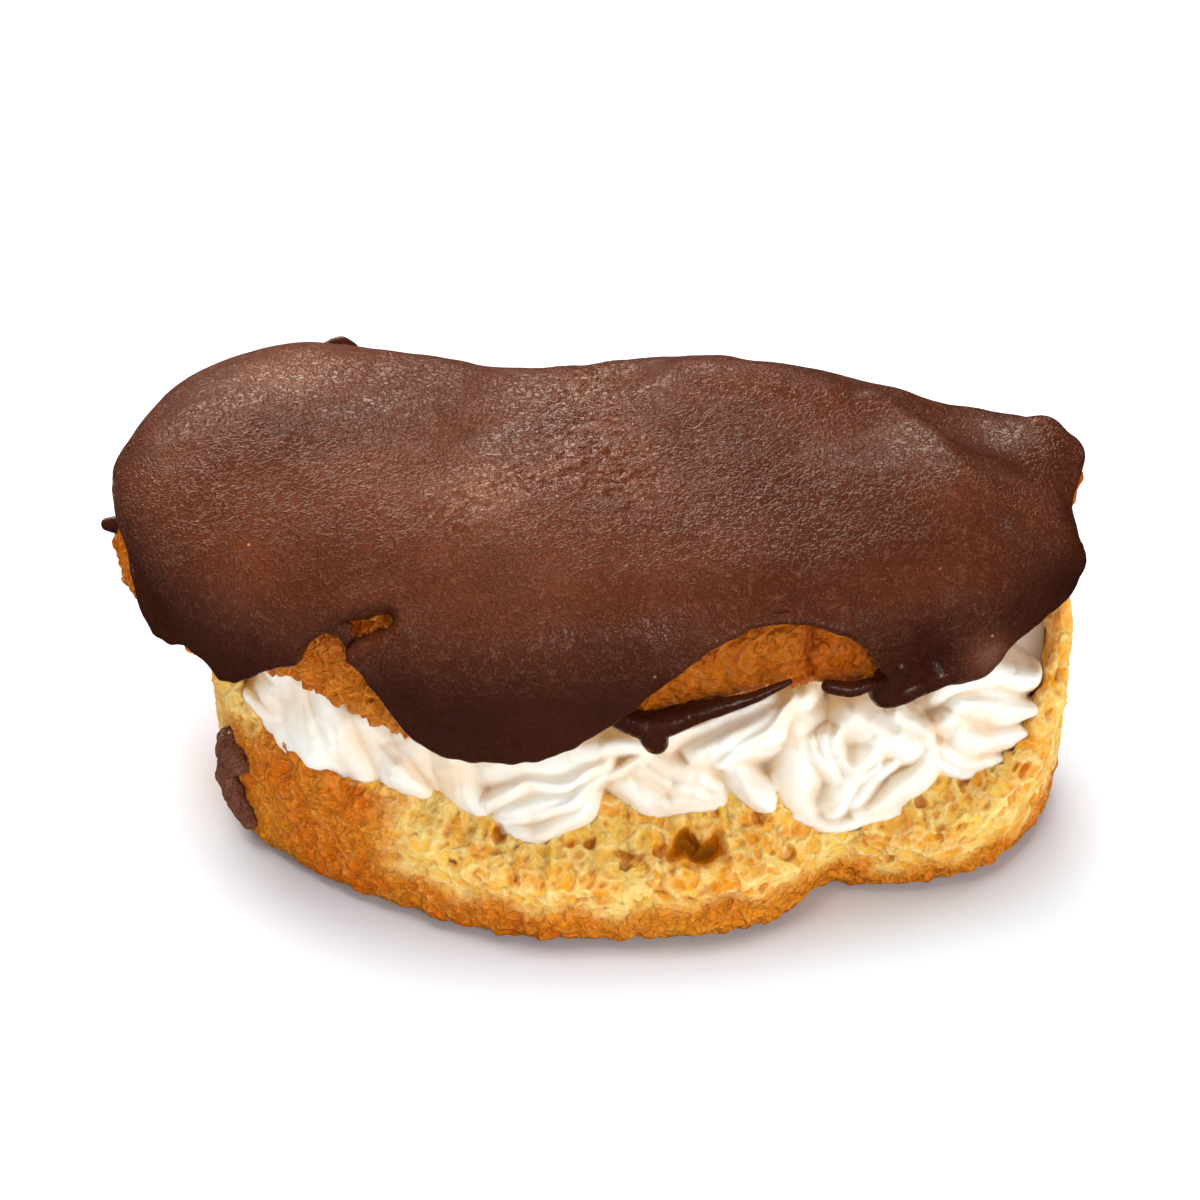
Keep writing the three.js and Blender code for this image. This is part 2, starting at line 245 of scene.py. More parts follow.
# %% A tree of nodes
class Tree:
    """A node tree that makes any node from its type, its settings and its sockets' values."""

    def __init__(self, tree):
        self.tree = tree

    def node(self, kind, settings=None, sockets=None, output=0):
        made = self.tree.nodes.new(kind)
        for name, value in (settings or {}).items():
            setattr(made, name, value)
        for name, value in (sockets or {}).items():
            if isinstance(value, Value):
                self.tree.links.new(value.socket, made.inputs[name])
            else:
                made.inputs[name].default_value = value
        return Value(self, made.outputs[output])

    def vector(self, operation, sockets):
        return self.node("ShaderNodeVectorMath", {"operation": operation}, sockets)

    def noise(self, where, per_mm, detail=2, rough=0.5):
        """Soft random clouds, per_mm of them to a millimetre, as a value about 0.5."""
        sockets = {"Vector": where, "Scale": per_mm / MM, "Detail": detail, "Roughness": rough}
        return self.node("ShaderNodeTexNoise", None, sockets)

    def cells(self, where, per_mm, output="Distance"):
        """Random cells: the distance to the middle of the nearest one, or its own colour."""
        sockets = {"Vector": where, "Scale": per_mm / MM}
        return self.node("ShaderNodeTexVoronoi", None, sockets, output)

    def bent(self, where, per_mm, reach):
        """The place shifted at random by up to about reach, so that patterns on it curl."""
        cloud = Value(self, self.noise(where, per_mm).socket.node.outputs["Color"])
        shift = self.vector("SUBTRACT", {0: cloud, 1: (0.5, 0.5, 0.5)})
        return self.vector("MULTIPLY_ADD", {0: shift, 1: (reach * MM,) * 3, 2: where})

    def curls(self, where, per_mm, width):
        """Thin lines that curl and never cross: the places where a soft noise passes its middle."""
        bent = self.bent(where, per_mm * 0.7, 0.9 / per_mm)
        return (self.noise(bent, per_mm, 1) - 0.5).size().ease(0, width, 1, 0)

    def mix(self, share, a, b):
        """Colour a where share is 0 and colour b where it is 1."""
        a, b = (end if isinstance(end, Value) else paint(*end) for end in (a, b))
        return self.node("ShaderNodeMix", {"data_type": "RGBA"}, {0: share, 6: a, 7: b}, 2)

    def layered(self, colour, *layers):
        """A colour with others laid over it one by one, each with its share."""
        for share, over in layers:
            colour = self.mix(share, colour, over)
        return colour


# %% [markdown]
# ## Relief from Geometry Nodes
# Blisters on a crust, pores in a crumb and folds in cream all follow a surface, so Geometry Nodes
# push each point in or out along its normal. A tree has named inputs for its heights and for the
# material of its result. Its result becomes a plain mesh, because an exported model has no
# modifiers.

# %% A relief tree
def noted(tree, name):
    """A number kept on the points, read in a relief tree."""
    return tree.node("GeometryNodeInputNamedAttribute", {"data_type": "FLOAT"}, {"Name": name})


def relief(name, heights, shape):
    """A tree that moves the shown points along their normals.

    shape(tree, where, given) returns how far, and the numbers that are kept for the finish.
    """
    group = bpy.data.node_groups.new(name, "GeometryNodeTree")
    group.interface.new_socket("Geometry", in_out="INPUT", socket_type="NodeSocketGeometry")
    for label, value in heights.items():
        socket = group.interface.new_socket(label, in_out="INPUT", socket_type="NodeSocketFloat")
        socket.default_value = value * MM
    group.interface.new_socket("Finish", in_out="INPUT", socket_type="NodeSocketMaterial")
    group.interface.new_socket("Geometry", in_out="OUTPUT", socket_type="NodeSocketGeometry")
    tree = Tree(group)
    entry = group.nodes.new("NodeGroupInput")
    given = {socket.name: Value(tree, socket) for socket in entry.outputs if socket.name}
    where = tree.node("GeometryNodeInputPosition")
    height, notes = shape(tree, where, given)
    normal = tree.node("GeometryNodeInputNormal")
    push = tree.vector("SCALE", {0: normal, "Scale": height * noted(tree, "shown")})
    body = given["Geometry"]
    for label, value in notes.items():
        sockets = {"Geometry": body, "Name": label, "Value": value}
        as_number = {"data_type": "FLOAT", "domain": "POINT"}
        body = tree.node("GeometryNodeStoreNamedAttribute", as_number, sockets)
    body = tree.node("GeometryNodeSetPosition", None, {"Geometry": body, "Offset": push})
    body = tree.node("GeometryNodeRealizeInstances", None, {"Geometry": body})
    sockets = {"Geometry": body, "Material": given["Finish"]}
    body = tree.node("GeometryNodeSetMaterial", None, sockets)
    exit_node = group.nodes.new("NodeGroupOutput")
    group.links.new(body.socket, exit_node.inputs[0])
    return group


# %% From modifiers to a plain mesh
def settle(made):
    """Turns what the modifiers make into the object's own plain mesh."""
    bpy.context.view_layer.update()
    shown = made.evaluated_get(bpy.context.evaluated_depsgraph_get())
    mesh = bpy.data.meshes.new_from_object(shown)
    made.modifiers.clear()
    made.data = mesh


def apply_relief(made, group, finish, **heights):
    """Gives an object a relief, with its own heights if any, and makes the result its mesh."""
    modifier = made.modifiers.new(group.name, "NODES")
    modifier.node_group = group
    for item in group.interface.items_tree:
        if item.in_out == "INPUT" and item.name in heights:
            modifier[item.identifier] = heights[item.name] * MM
        if item.in_out == "INPUT" and item.name == "Finish":
            modifier[item.identifier] = finish
    settle(made)
    made.data.calc_loop_triangles()
    print(made.name, "has", len(made.data.loop_triangles), "triangles")


# %% [markdown]
# ## Finishes
# Each finish is a Principled shader whose colour, roughness and bump come from noise and cells
# on the object's own coordinates, so nothing slides when the eclair is turned. Painting by hand
# would need an image, and cells and noise give the same detail on every side.

# %% A new finish
def finish_of(name, recipe, **constants):
    """A material. recipe(tree, where) gives its colour, roughness and bump, in millimetres."""
    made = bpy.data.materials.new(name)
    made.use_nodes = True
    tree = Tree(made.node_tree)
    shader = made.node_tree.nodes["Principled BSDF"]
    where = tree.node("ShaderNodeTexCoord", output="Object")
    colour, roughness, height = recipe(tree, where)
    bump = tree.node("ShaderNodeBump", None, {"Height": height, "Strength": 1, "Distance": MM})
    for name, value in (("Base Color", colour), ("Roughness", roughness), ("Normal", bump)):
        made.node_tree.links.new(value.socket, shader.inputs[name])
    for name, value in constants.items():
        shader.inputs[name.replace("_", " ")].default_value = value
    return made


def written(tree, name):
    """A number kept on the points, read in a finish."""
    return tree.node("ShaderNodeAttribute", {"attribute_name": name}, None, "Fac")


# %% [markdown]
# ### Chocolate
# A chocolate glaze sets to a satin skin. It is lighter on the top, partly where fat has bloomed and
# partly as painted light, darker and glossier where it ran, and covered with fine curly wrinkles
# less than a millimetre wide.
# The wrinkles are the contour lines of a twisted noise: such lines curl and never cross.

# %% The chocolate finish
def chocolate(tree, where):
    bloom = written(tree, "bloom")
    rough = written(tree, "rough")
    patchy = tree.noise(where, 0.3).ease(0.38, 0.6)
    wrinkle = tree.curls(where, 0.8, 0.06) * 0.6
    wrinkle = wrinkle + tree.curls(where, 1.3, 0.08) * (patchy * 0.4 + 0.3)
    wrinkle = wrinkle * bloom.ease(0.05, 0.6, 0.05, 1)
    drop = tree.cells(tree.bent(where, 0.5, 1), 0.9).ease(0.1, 0.5, 1, 0)
    cloud = tree.noise(where, 0.05, 4, 0.6)
    deep = tree.mix(cloud.ease(0.3, 0.7), (46, 16, 6), (54, 20, 8))
    pale = tree.mix(cloud.ease(0.3, 0.7), (80, 35, 17), (96, 46, 25))
    # Painted highlight: above 0.9 a pale sheen colour is laid on, with stronger wrinkles and a
    # little more gloss.
    painted_highlight = (bloom - 0.9).ease(0, 1)
    speck = tree.cells(where, 0.35).ease(0.05, 0.09, 1, 0)
    some = tree.cells(where, 0.35, output="Color").ease(0.8, 0.84)
    # Deep to pale by bloom: fat bloom, and painted light on the top and crests.
    colour = tree.layered(
        tree.mix(bloom, deep, pale),
        (painted_highlight * 0.3, (158, 108, 86)),
        (wrinkle * (painted_highlight * 0.25 + 0.25), (150, 93, 68)),
        (tree.curls(where, 0.4, 0.1) * rough * 0.2, (176, 126, 104)),
        (speck * some * bloom.ease(0.1, 0.5) * 0.8, (196, 132, 92)),
    )
    satin = tree.noise(where, 0.8, 3).ease(0.3, 0.7, -0.05, 0.05)
    roughness = satin + bloom.ease(0, 1, 0.28, 0.36) - rough * 0.12 - painted_highlight * 0.06
    grain = tree.noise(where, 1.6, 3, 0.6)
    height = wrinkle * 0.28 + grain * 0.07 * bloom.ease(0.1, 0.4, 0.3, 1) + drop * rough * 0.3
    return colour, roughness, height


CHOCOLATE = finish_of("chocolate_glaze", chocolate, Specular_IOR_Level=0.3)

# %% [markdown]
# ### Choux pastry
# Outside, choux bakes to an orange-brown crust with paler flakes that curl like wood shavings.
# Torn open, it shows a yellow crumb: a damp, springy net round larger pores with an orange
# skin. One recipe makes both, and a number kept on each point says how much is crumb.

# %% The pastry finish
def pastry(tree, where):
    torn = written(tree, "torn")
    baked = written(tree, "baked")
    pore = written(tree, "pore")
    flaky = written(tree, "flaky")
    cloud = tree.noise(where, 0.09, 4, 0.6)
    fine = tree.noise(where, 1.1, 4, 0.65)
    patchy = tree.noise(where, 0.28).ease(0.36, 0.6)
    shaving = tree.curls(where, 0.28, 0.07) * patchy + tree.curls(where, 0.55, 0.09) * 0.6
    grain = tree.cells(tree.bent(where, 0.5, 1.2), 0.6).ease(0.1, 0.75, 1, 0)
    net = tree.curls(where, 0.27, 0.12) * 0.7 + tree.curls(where, 0.6, 0.12) * 0.5
    crust = tree.layered(
        tree.mix(cloud.ease(0.3, 0.68), (232, 116, 2), (250, 160, 34)),
        (fine.ease(0.5, 0.72) * 0.4, (186, 84, 2)),
        # Darker where the crust baked more, and painted shade in the lid's tear and along its
        # crack.
        (baked, (140, 52, 0)),
        # Painted shade in the low places between the bumps of the bump map.
        ((1 - grain) * 0.4, (172, 74, 0)),
        (shaving * flaky * 0.6, (255, 160, 56)),
    )
    crumb = tree.layered(
        tree.mix(cloud.ease(0.32, 0.66), (252, 172, 30), (255, 206, 90)),
        (fine.ease(0.52, 0.75) * 0.5, (240, 142, 10)),
        (tree.noise(where, 0.16).ease(0.5, 0.62) * 0.7, (238, 148, 14)),
        (net * 0.75, (255, 226, 148)),
        # The pores' orange skin; the deepest hollows are painted darker, as shade.
        (pore, (214, 126, 4)),
        ((pore - 1).ease(0, 1), (164, 98, 2)),
    )
    colour = tree.mix(torn, crust, crumb)
    roughness = fine.ease(0.3, 0.7, 0.2, 0.36) + torn * 0.1
    height = (shaving * flaky * 0.7 + grain * 0.5) * (1 - torn) + net * torn * 0.25 + fine * 0.25
    return colour, roughness, height


PASTRY = finish_of(
    "choux_pastry", pastry, Specular_IOR_Level=0.28,
    Subsurface_Weight=0.3, Subsurface_Radius=(1.0, 0.45, 0.15), Subsurface_Scale=1.6 * MM,
)

# %% [markdown]
# ### Whipped cream
# Cream is nearly white and lets light in a little way, which softens its shadows. Its folds and
# creases are painted a warmer, darker beige, as shade. Its surface is smooth with a few small
# tears.

# %% The cream finish
def whipped(tree, where):
    cloud = tree.noise(where, 0.16, 3)
    fine = tree.noise(where, 1.4, 3, 0.6)
    colour = tree.layered(
        tree.mix(cloud.ease(0.3, 0.7), (253, 242, 226), (255, 249, 240)),
        # Painted shade: the grooves of the small folds and the creases of the face get a warmer,
        # darker beige.
        (written(tree, "fold"), (246, 224, 192)),
        (written(tree, "crease") * 0.4, (242, 206, 158)),
    )
    roughness = fine.ease(0.3, 0.7, 0.42, 0.58)
    height = fine * 0.1 + cloud * 0.3
    return colour, roughness, height


CREAM = finish_of(
    "whipped_cream", whipped, Specular_IOR_Level=0.3,
    Subsurface_Weight=0.45, Subsurface_Radius=(1.0, 0.8, 0.6), Subsurface_Scale=1.6 * MM,
)
print("finishes:", [m.name for m in (CHOCOLATE, PASTRY, CREAM)])

# %% [markdown]
# ## The lid
# The upper half of the choux was lifted to let the cream in, so it is wider than the base and
# domed. Its section is a rounded box, and its outline comes from a table: x, y, the height
# where it is widest, the height of its cut edge, and how far the icing runs below the widest
# part. The same table gives the icing, so the two always fit.

# %% Stations round the lid
LID_STATIONS = [
    (0, -27.6, 44.5, 34.6, 3.5), (14, -26.8, 46, 38, 2.5), (27, -25, 47, 41.2, 2.5),
    (38, -23, 46.5, 39.2, 3), (50, -17.5, 46, 40, 5), (60, -8, 46.5, 38, 3),
    (60.6, 2, 48, 36.5, -1), (63, 12.4, 48, 36, -4.6), (56.5, 18.6, 47.5, 36, 4),
    (42, 21, 49.5, 36, 7), (26, 23.6, 51, 36, 9), (10, 25, 52, 36, 8), (-8, 24, 50.5, 36, 6),
    (-26, 26.4, 51.5, 36, 8), (-42, 27, 51.5, 36, 10), (-54, 19.4, 50.5, 36, 6),
    (-60, 8, 47.5, 36, -2), (-57.8, -4.4, 46.5, 36, 0), (-49.6, -14.8, 46, 36, 5.5),
    (-38, -21.4, 45.5, 38.5, 3.5), (-26, -25.2, 44.5, 32.5, 4), (-13, -27.8, 44, 31.5, 4),
]
# Swells and hollows of the top: middle x and y, half lengths along X and Y, height
SWELLS = [
    (-40, 8, 18, 20, 2.4), (-7, 14, 10, 16, -2), (19, 14, 17, 13, 2.6),
    (-12, -16, 16, 9, 1.2), (54, 16, 18, 14, -5.4), (44, -6, 14, 6, 1.2),
]
CROWN = 58.3  # height of the top before its swells
LID_SQUARE = 2.5  # 2 makes the section an ellipse, more makes it boxier
CUT_SQUARE = 8  # the same below the widest outline


def on_lid(here, out, turn, margin=0.0):
    """Points of the lid: turn is 0 on top, 0.5 where it is widest and 1 under the cut face."""
    angle = np.pi * turn
    square = np.where(turn < 0.5, LID_SQUARE, CUT_SQUARE)
    share = np.sin(angle) ** (2 / square)
    level = np.abs(np.cos(angle)) ** (2 / square)
    x, y = in_plan(here, out, share, margin)
    crown = CROWN + sum(
        height * np.exp(-(((x - sx) / long) ** 2) - ((y - sy) / wide) ** 2)
        for sx, sy, long, wide, height in SWELLS
    )
    end = np.where(turn < 0.5, crown + margin, here[:, 3] - margin)
    return np.stack([x, y, here[:, 2] + (end - here[:, 2]) * level], 1)


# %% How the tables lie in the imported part
PLAIN_COUNT = 84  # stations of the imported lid, and its turns
PLAIN_TURNS = [0.98, 0.8, 0.7, 0.6, 0.5, 0.43, 0.36, 0.29, 0.22, 0.15, 0.08, 0.02]
plain, plain_out = walk_round(LID_STATIONS, PLAIN_COUNT)
plain_lid = np.concatenate([on_lid(plain, plain_out, turn) for turn in PLAIN_TURNS])
packed_low, packed_high = (np.array(corner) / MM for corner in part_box("lid_bun"))
SHIFT = packed_high - plain_lid.max(0)
fit = packed_low - plain_lid.min(0) - SHIFT
print("tables are shifted by, mm:", SHIFT.round(3), "fit:", fit.round(3))

# %% The lid's skin
TEAR = [(-33.6, -22.6, 48.4), (-31.4, -22.6, 49.8), (-28.6, -22.5, 51), (-25.4, -22.2, 52.6)]
TEAR_OUT = 0.2  # how far the crust stands out where the icing tore off it
LID_ENDS = [  # place, spread and how far the crust bulges out there
    ((-61, 1, 44.5), 3.5, 2.4), ((-59, -4, 42), 3.5, 2.2), ((63.6, 11, 47.5), 4.5, 2.4),
]
CRACK = [
    (27.9, -23.5, 50.8), (27.6, -23.9, 48.7), (27.3, -24, 47.1), (28, -23.9, 45.3),
    (28.3, -23.8, 43.8),
]
CRACK_DEPTH = 1.1
LID_COUNT = 560
LID_INSET = 0.1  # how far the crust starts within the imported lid, before its relief
RAGGED = 0.8  # how far its cut edge runs up and down
lid_here, lid_out = walk_round(LID_STATIONS, LID_COUNT, 1.6)
side_levels = np.linspace(0.93, 0.03, 64)  # even steps down the side
side_turns = np.arccos(-(side_levels ** (CUT_SQUARE / 2))) / np.pi
lid_turns = np.concatenate([  # the cut face, the side, the shoulder and the hidden top
    np.linspace(0.98, 0.78, 12), side_turns, np.linspace(0.5, 0.36, 22),
    np.linspace(0.34, 0.02, 10),
])
ragged = RAGGED * wobble(np.arange(LID_COUNT) / LID_COUNT, (53, 89, 131, 173), 4)
lid_rings = []
for turn in lid_turns:
    ring = on_lid(lid_here, lid_out, turn, -LID_INSET)
    ring[:, 2] += ragged * ease(turn, 0.52, 0.64) * (1 - ease(turn, 0.8, 0.95))
    lid_rings.append(ring + SHIFT)
lid_rings = np.array(lid_rings)
tear_shade = near(lid_rings, TEAR, 1.2)
lid_rings[..., 1] -= TEAR_OUT * near(lid_rings, TEAR, 0.9)
for place, spread, out in LID_ENDS:
    lid_rings[..., 0] += out * near(lid_rings, place, spread) * np.sign(place[0])
lid_rings[..., 1] += CRACK_DEPTH * near(lid_rings, CRACK, 0.5)
lid = skin("lid_crust", lid_rings)
under = np.repeat(lid_turns[:, None], LID_COUNT, 1)
lid_x = lid_rings[..., 0]
# Darker crust towards the right where it baked more; painted shade in the recess of the tear and
# along the crack.
baked = 0.5 + 0.22 * ease(lid_x, -26, -10) + 0.5 * tear_shade + near(lid_rings, CRACK, 0.6)
note(
    lid, torn=ease(under, 0.78, 0.88), baked=baked, shown=ease(under, 0.3, 0.4),
    flaky=0.3 + 0.6 * ease(-lid_x, 18, 26),
)


# %% Blisters and folds of a crust
def crust_relief(tree, where, given):
    bent = tree.bent(where, 0.15, 3)
    blister = tree.cells(bent, 0.45).ease(0, 0.9, 1, 0)
    fold = tree.curls(where, 0.3, 0.06)
    fine = tree.noise(where, 0.55, 3, 0.6) - 0.5
    height = blister * given["Blisters"] - fold * given["Folds"] + fine * given["Grain"]
    return height, {"pore": fold * 0.3}


CRUST_HEIGHTS = {"Blisters": 0.7, "Folds": 0.3, "Grain": 1.0}
CRUST_RELIEF = relief("crust_relief", CRUST_HEIGHTS, crust_relief)
apply_relief(lid, CRUST_RELIEF, PASTRY)

# %% [markdown]
# ## The icing
# Melted chocolate was spread over the lid and ran down its sides before it set. It is a skin
# two millimetres thick with a rounded lip, and its edge hangs low in lobes and stays high in a
# few gaps. So its rings are those of the lid, moved outwards. How far it hangs comes from a
# table along the front, and from the lid's own table round the back.

# %% The edge of the icing
FRONT_EDGE = [  # x along the front, and how far the icing hangs below the lid's widest outline
    (-57, 4.5), (-54, 7), (-52, 6.5), (-50, 5.5), (-48, 5.8), (-46, 8.2), (-44, 7.5), (-42, 5.5),
    (-40, 3.6), (-38.5, 2.4), (-37, 1.5), (-35.8, 0.6), (-34.6, -2.9), (-33, -4.9), (-31.4, -4.6),
    (-29.6, -2.4), (-27, 0.7), (-25, 3.3), (-23, 6), (-21, 8.3), (-18, 10.1), (-14, 10.7),
    (-10, 11.2), (-6, 10.7), (-3, 9.4), (0, 7.9), (3, 5.7), (6, 3.3), (9, 0.7), (12, -1.7),
    (15, -4.5), (18, -6.7), (21, -7.9), (24, -8.1), (27, -7.7), (30, -6.7), (33, -4.7),
    (35, -2.3), (36.6, 1.4), (38, 5.2), (39.6, 7), (42, 7.3), (44, 6.8), (47, 6.2), (50, 5),
    (53, 4.2), (56, 3.5), (61, 3.2),
]
GAP = 0.35  # left between two pieces that touch
GLAZE = 2.1  # thickness of the chocolate
BEAD = 0.5  # how much thicker it is along its lip
INSIDE = 0.8  # how far its hidden inside lies within the crust
SHOULDER = 34  # length of the lid's skin from its spine to its widest outline
SIDE_START = -10.5  # where the sides begin, above the widest outline
ICING_COUNT = 640

ice_here, ice_out = walk_round(LID_STATIONS, ICING_COUNT, 1.5)
ice_share = np.arange(ICING_COUNT) / ICING_COUNT
front_edge = np.interp(ice_here[:, 0], *np.transpose(FRONT_EDGE))
reach = ice_here[:, 4] + (front_edge - ice_here[:, 4]) * ease(-ice_here[:, 1], 3, 8)
reach = reach + 0.15 * wobble(ice_share, (19, 37, 61, 97), 9)
print("the icing reaches down by, mm:", reach.min().round(2), "to", reach.max().round(2))


def hanging(below, margin):
    """Points of the icing: on the lid above its widest outline, and straight down below it."""
    high = on_lid(ice_here, ice_out, 0.5 * (1 + np.minimum(below, 0) / SHOULDER), margin)
    x, y = in_plan(ice_here, ice_out, 1.0, margin)
    low = np.stack([x, y, ice_here[:, 2] - below], 1)
    return np.where((below <= 0)[:, None], high, low)


# %% The icing's rings, from inside, round the lip and over the top
lip = (GLAZE + BEAD) / 2
lip_middle = GAP + GLAZE + BEAD - lip
icing_rings = []
icing_depth = []  # 1 on the outside, 0 on the hidden inside


def add_ring(points, depth):
    icing_rings.append(points + SHIFT)
    icing_depth.append(depth)


for turn in (0.02, 0.08, 0.15, 0.22, 0.29):
    add_ring(on_lid(ice_here, ice_out, turn, -INSIDE), 0)
for part in (0, 0.25, 0.5, 0.75, 0.9):
    below = SIDE_START + (reach - lip - SIDE_START) * part
    add_ring(hanging(below, GAP - (GAP + INSIDE) * (1 - ease(part, 0.6, 0.9))), 0)
for angle in np.linspace(np.pi, 0, 15):
    below = reach - lip + lip * np.sin(angle)
    add_ring(hanging(below, lip_middle + lip * np.cos(angle)), ease(-angle, -2.4, -1.2))
for part in np.linspace(0.985, 0, 54):
    below = SIDE_START + (reach - lip - SIDE_START) * part
    near_lip = np.exp(-(((reach - lip - below) / 2.4) ** 2))
    add_ring(hanging(below, GAP + GLAZE + BEAD * near_lip), 1)
top_start = 0.5 * (1 + SIDE_START / SHOULDER)
top_share = math.sin(math.pi * top_start) ** (2 / LID_SQUARE)
for share in np.linspace(top_share, 0.012, 52)[1:]:
    turn = math.asin(share ** (LID_SQUARE / 2)) / math.pi
    add_ring(on_lid(ice_here, ice_out, turn, GAP + GLAZE), 1)
icing_rings = np.array(icing_rings)
icing_depth = np.repeat(np.array(icing_depth)[:, None], ICING_COUNT, 1)
print("the icing has", icing_rings.shape[0], "rings of", ICING_COUNT)

# %% [markdown]
# The top isn't even: the chocolate folded, sagged and dented as it set. Each mark is a line
# through a few points with a half width and a height, and pushes the skin in or out round it.


# %% Marks in the icing
def ring_normals(rings):
    """The outward direction at each point of a stack of rings."""
    along = np.roll(rings, -1, 1) - np.roll(rings, 1, 1)
    up = np.gradient(rings, axis=0)
    normal = np.cross(along, up)
    return normal / np.maximum(np.linalg.norm(normal, axis=-1), 1e-9)[..., None]


MARKS = [  # line, half width, height
    ([(38, 13, 58.5), (42.6, 8.7, 59), (45.1, 1.6, 60), (48, -4.8, 60.3), (52.9, -8.6, 57.8),
      (57.5, -9.8, 54.5), (62.2, -7.2, 48.8)], 3, 1.7),
    ([(48, 14, 57), (53.6, 8.8, 56), (58, 4, 55)], 5, -1.5),
    ([(59.9, 14.7, 53)], 3, 1.6), ([(5, 20, 59)], 6, -1.3), ([(16, 16, 62), (30, 14, 60)], 5, 0.9),
    ([(-63, 8, 54), (-63, 2, 49), (-61, -6, 46)], 5, -1.3),
    ([(42.4, -16.5, 54), (42.7, -19.5, 49), (44, -21.4, 44)], 2.2, -2.0),
    ([(50.4, -16.5, 50), (49.8, -20.3, 43)], 3.6, 1.5),
    ([(-14.2, 5.7, 61)], 3.5, -0.7),
    ([(-34, -25, 49), (-30.4, -25, 51.4), (-26.8, -24.8, 52.8)], 1.6, -3.8),
    ([(-25.6, -24.4, 53.4)], 1.2, -1.8),
    ([(-30, -26, 48.6), (-27, -26, 51), (-24, -25, 52.6)], 1.2, 0.9),
    ([(-31, -24, 53.5), (-27.5, -23.6, 55), (-24.5, -23, 55.4)], 2.2, 0.7),
]
PAINTED_SHEEN_AND_SHADE = [  # painted sheen where the amount is above 0, painted shade where below: place, spread, amount
    ((-41, 15, 62), 9, 0.8), ((-53, -4, 58), 6, 0.25), ((-46, -18, 52), 6, 0.35),
    ((-38, 3, 63), 7, -0.5), ((-22, 11, 61), 7, -0.35), ((-9, -23, 56), 10, 0.3),
    ((-13, -10, 61), 5, 0.5), ((1, 17, 60), 6, 0.5), ((-20, 6, 62), 3, 0.4), ((47, -8, 60), 3, 0.3),
    ((-33, -19, 57), 6, -0.35), ((-4, 8, 60), 4, -0.35), ((33, 8, 60), 8, 0.3),
    ((22, -4, 61), 9, -0.35), ((45, -19.5, 53), 6, 0.3), ((50.5, -19.6, 44), 3.5, 1.8),
    ((53, 5, 57), 7, -0.35), ((42, -22, 50), 3, -0.3), ((60, -8, 50), 5, -0.3),
]
PEBBLED = [  # lines of the patch where the skin set rough, and their spread
    ([(1.3, 19, 60), (-2.6, 5.7, 62), (3.8, -5, 62)], 6),
    ([(-2, -3, 62), (-8.9, -5.4, 62), (-16.4, -12.5, 61)], 4),
]

# %% The icing's skin
push = sum(height * near(icing_rings, line, half) for line, half, height in MARKS) * icing_depth
print("marks push the icing by, mm:", push.min().round(2), "to", push.max().round(2))
icing_rings = icing_rings + ring_normals(icing_rings) * push[..., None]
icing = skin("icing_skin", icing_rings)
# Paler towards the top and the left: partly fat bloom, partly painted light from the lamps above
# and behind on the left.
leftward = ease(-icing_rings[..., 0], -50, 10)
bloom = 0.8 * ease(icing_rings[..., 2], 42, 58) * (0.55 + 0.45 * leftward)
# Painted sheen and painted shade from the table are added here.
bloom += 0.1 + sum(amount * near(icing_rings, place, spread) for place, spread, amount in PAINTED_SHEEN_AND_SHADE)
pebbled = sum(near(icing_rings, line, spread) for line, spread in PEBBLED)
note(icing, shown=icing_depth, bloom=np.clip(bloom, 0, 2), rough=np.clip(pebbled, 0, 1))


# %% Sags and ripples of set chocolate
def icing_relief(tree, where, given):
    sag = tree.noise(where, 0.06) - 0.5
    ripple = tree.noise(tree.bent(where, 0.2, 2), 0.28, 1) - 0.5
    drop = tree.cells(tree.bent(where, 0.4, 1.2), 0.5).ease(0.05, 0.45, 1, 0)
    pebble = drop * 0.6 + tree.curls(where, 0.4, 0.12) * 0.6
    pebble = pebble * noted(tree, "rough")
    return sag * given["Sags"] + ripple * given["Ripples"] + pebble * given["Pebbles"], {}


ICING_HEIGHTS = {"Sags": 2.2, "Ripples": 0.3, "Pebbles": 0.5}
ICING_RELIEF = relief("icing_relief", ICING_HEIGHTS, icing_relief)
apply_relief(icing, ICING_RELIEF, CHOCOLATE)


# %% [markdown]
# Round the edge there are drips, a strip that ran along the crust, and small nubs. Each is a
# rope through a few points with a radius at each. Ropes that meet are melted into one skin by
# a voxel remesh, which is how separate drops flow together.

# %% Ropes of chocolate
ROPE_STEPS, ROPE_COUNT, CAP_STEPS = 20, 24, 5
MELT_CELL = 0.3


def rope(knots, steps=ROPE_STEPS):
    """The points and faces of a rope through knots x, y, z, radius, with rounded ends."""
    last = len(knots) - 1
    cap = np.linspace(0, np.pi / 2, CAP_STEPS + 1)[:-1]
    t = np.concatenate([np.zeros(CAP_STEPS), np.linspace(0, last, steps), np.full(CAP_STEPS, last)])
    beyond = np.concatenate([-np.cos(cap), np.zeros(steps), np.cos(cap[::-1])])
    share = np.concatenate([np.sin(cap), np.ones(steps), np.sin(cap[::-1])])
    at = through(knots, t, False)
    after = through(knots, np.minimum(t + NUDGE, last), False)
    before = through(knots, np.maximum(t - NUDGE, 0), False)
    along = (after - before)[:, :3]
    along /= np.linalg.norm(along, axis=1)[:, None]
    centre = at[:, :3] + along * (beyond * at[:, 3])[:, None]
    side = np.cross(along, (1.0, 0.15, 0.1))
    side /= np.linalg.norm(side, axis=1)[:, None]
    size = (at[:, 3] * np.maximum(share, 0.05))[:, None]
    angle = 2 * np.pi * np.arange(ROPE_COUNT) / ROPE_COUNT
    rings = centre[:, None] + side[:, None] * (size * np.cos(angle))[..., None]
    rings = rings + np.cross(along, side)[:, None] * (size * np.sin(angle))[..., None]
    return rings.reshape(-1, 3), ring_faces(rings)


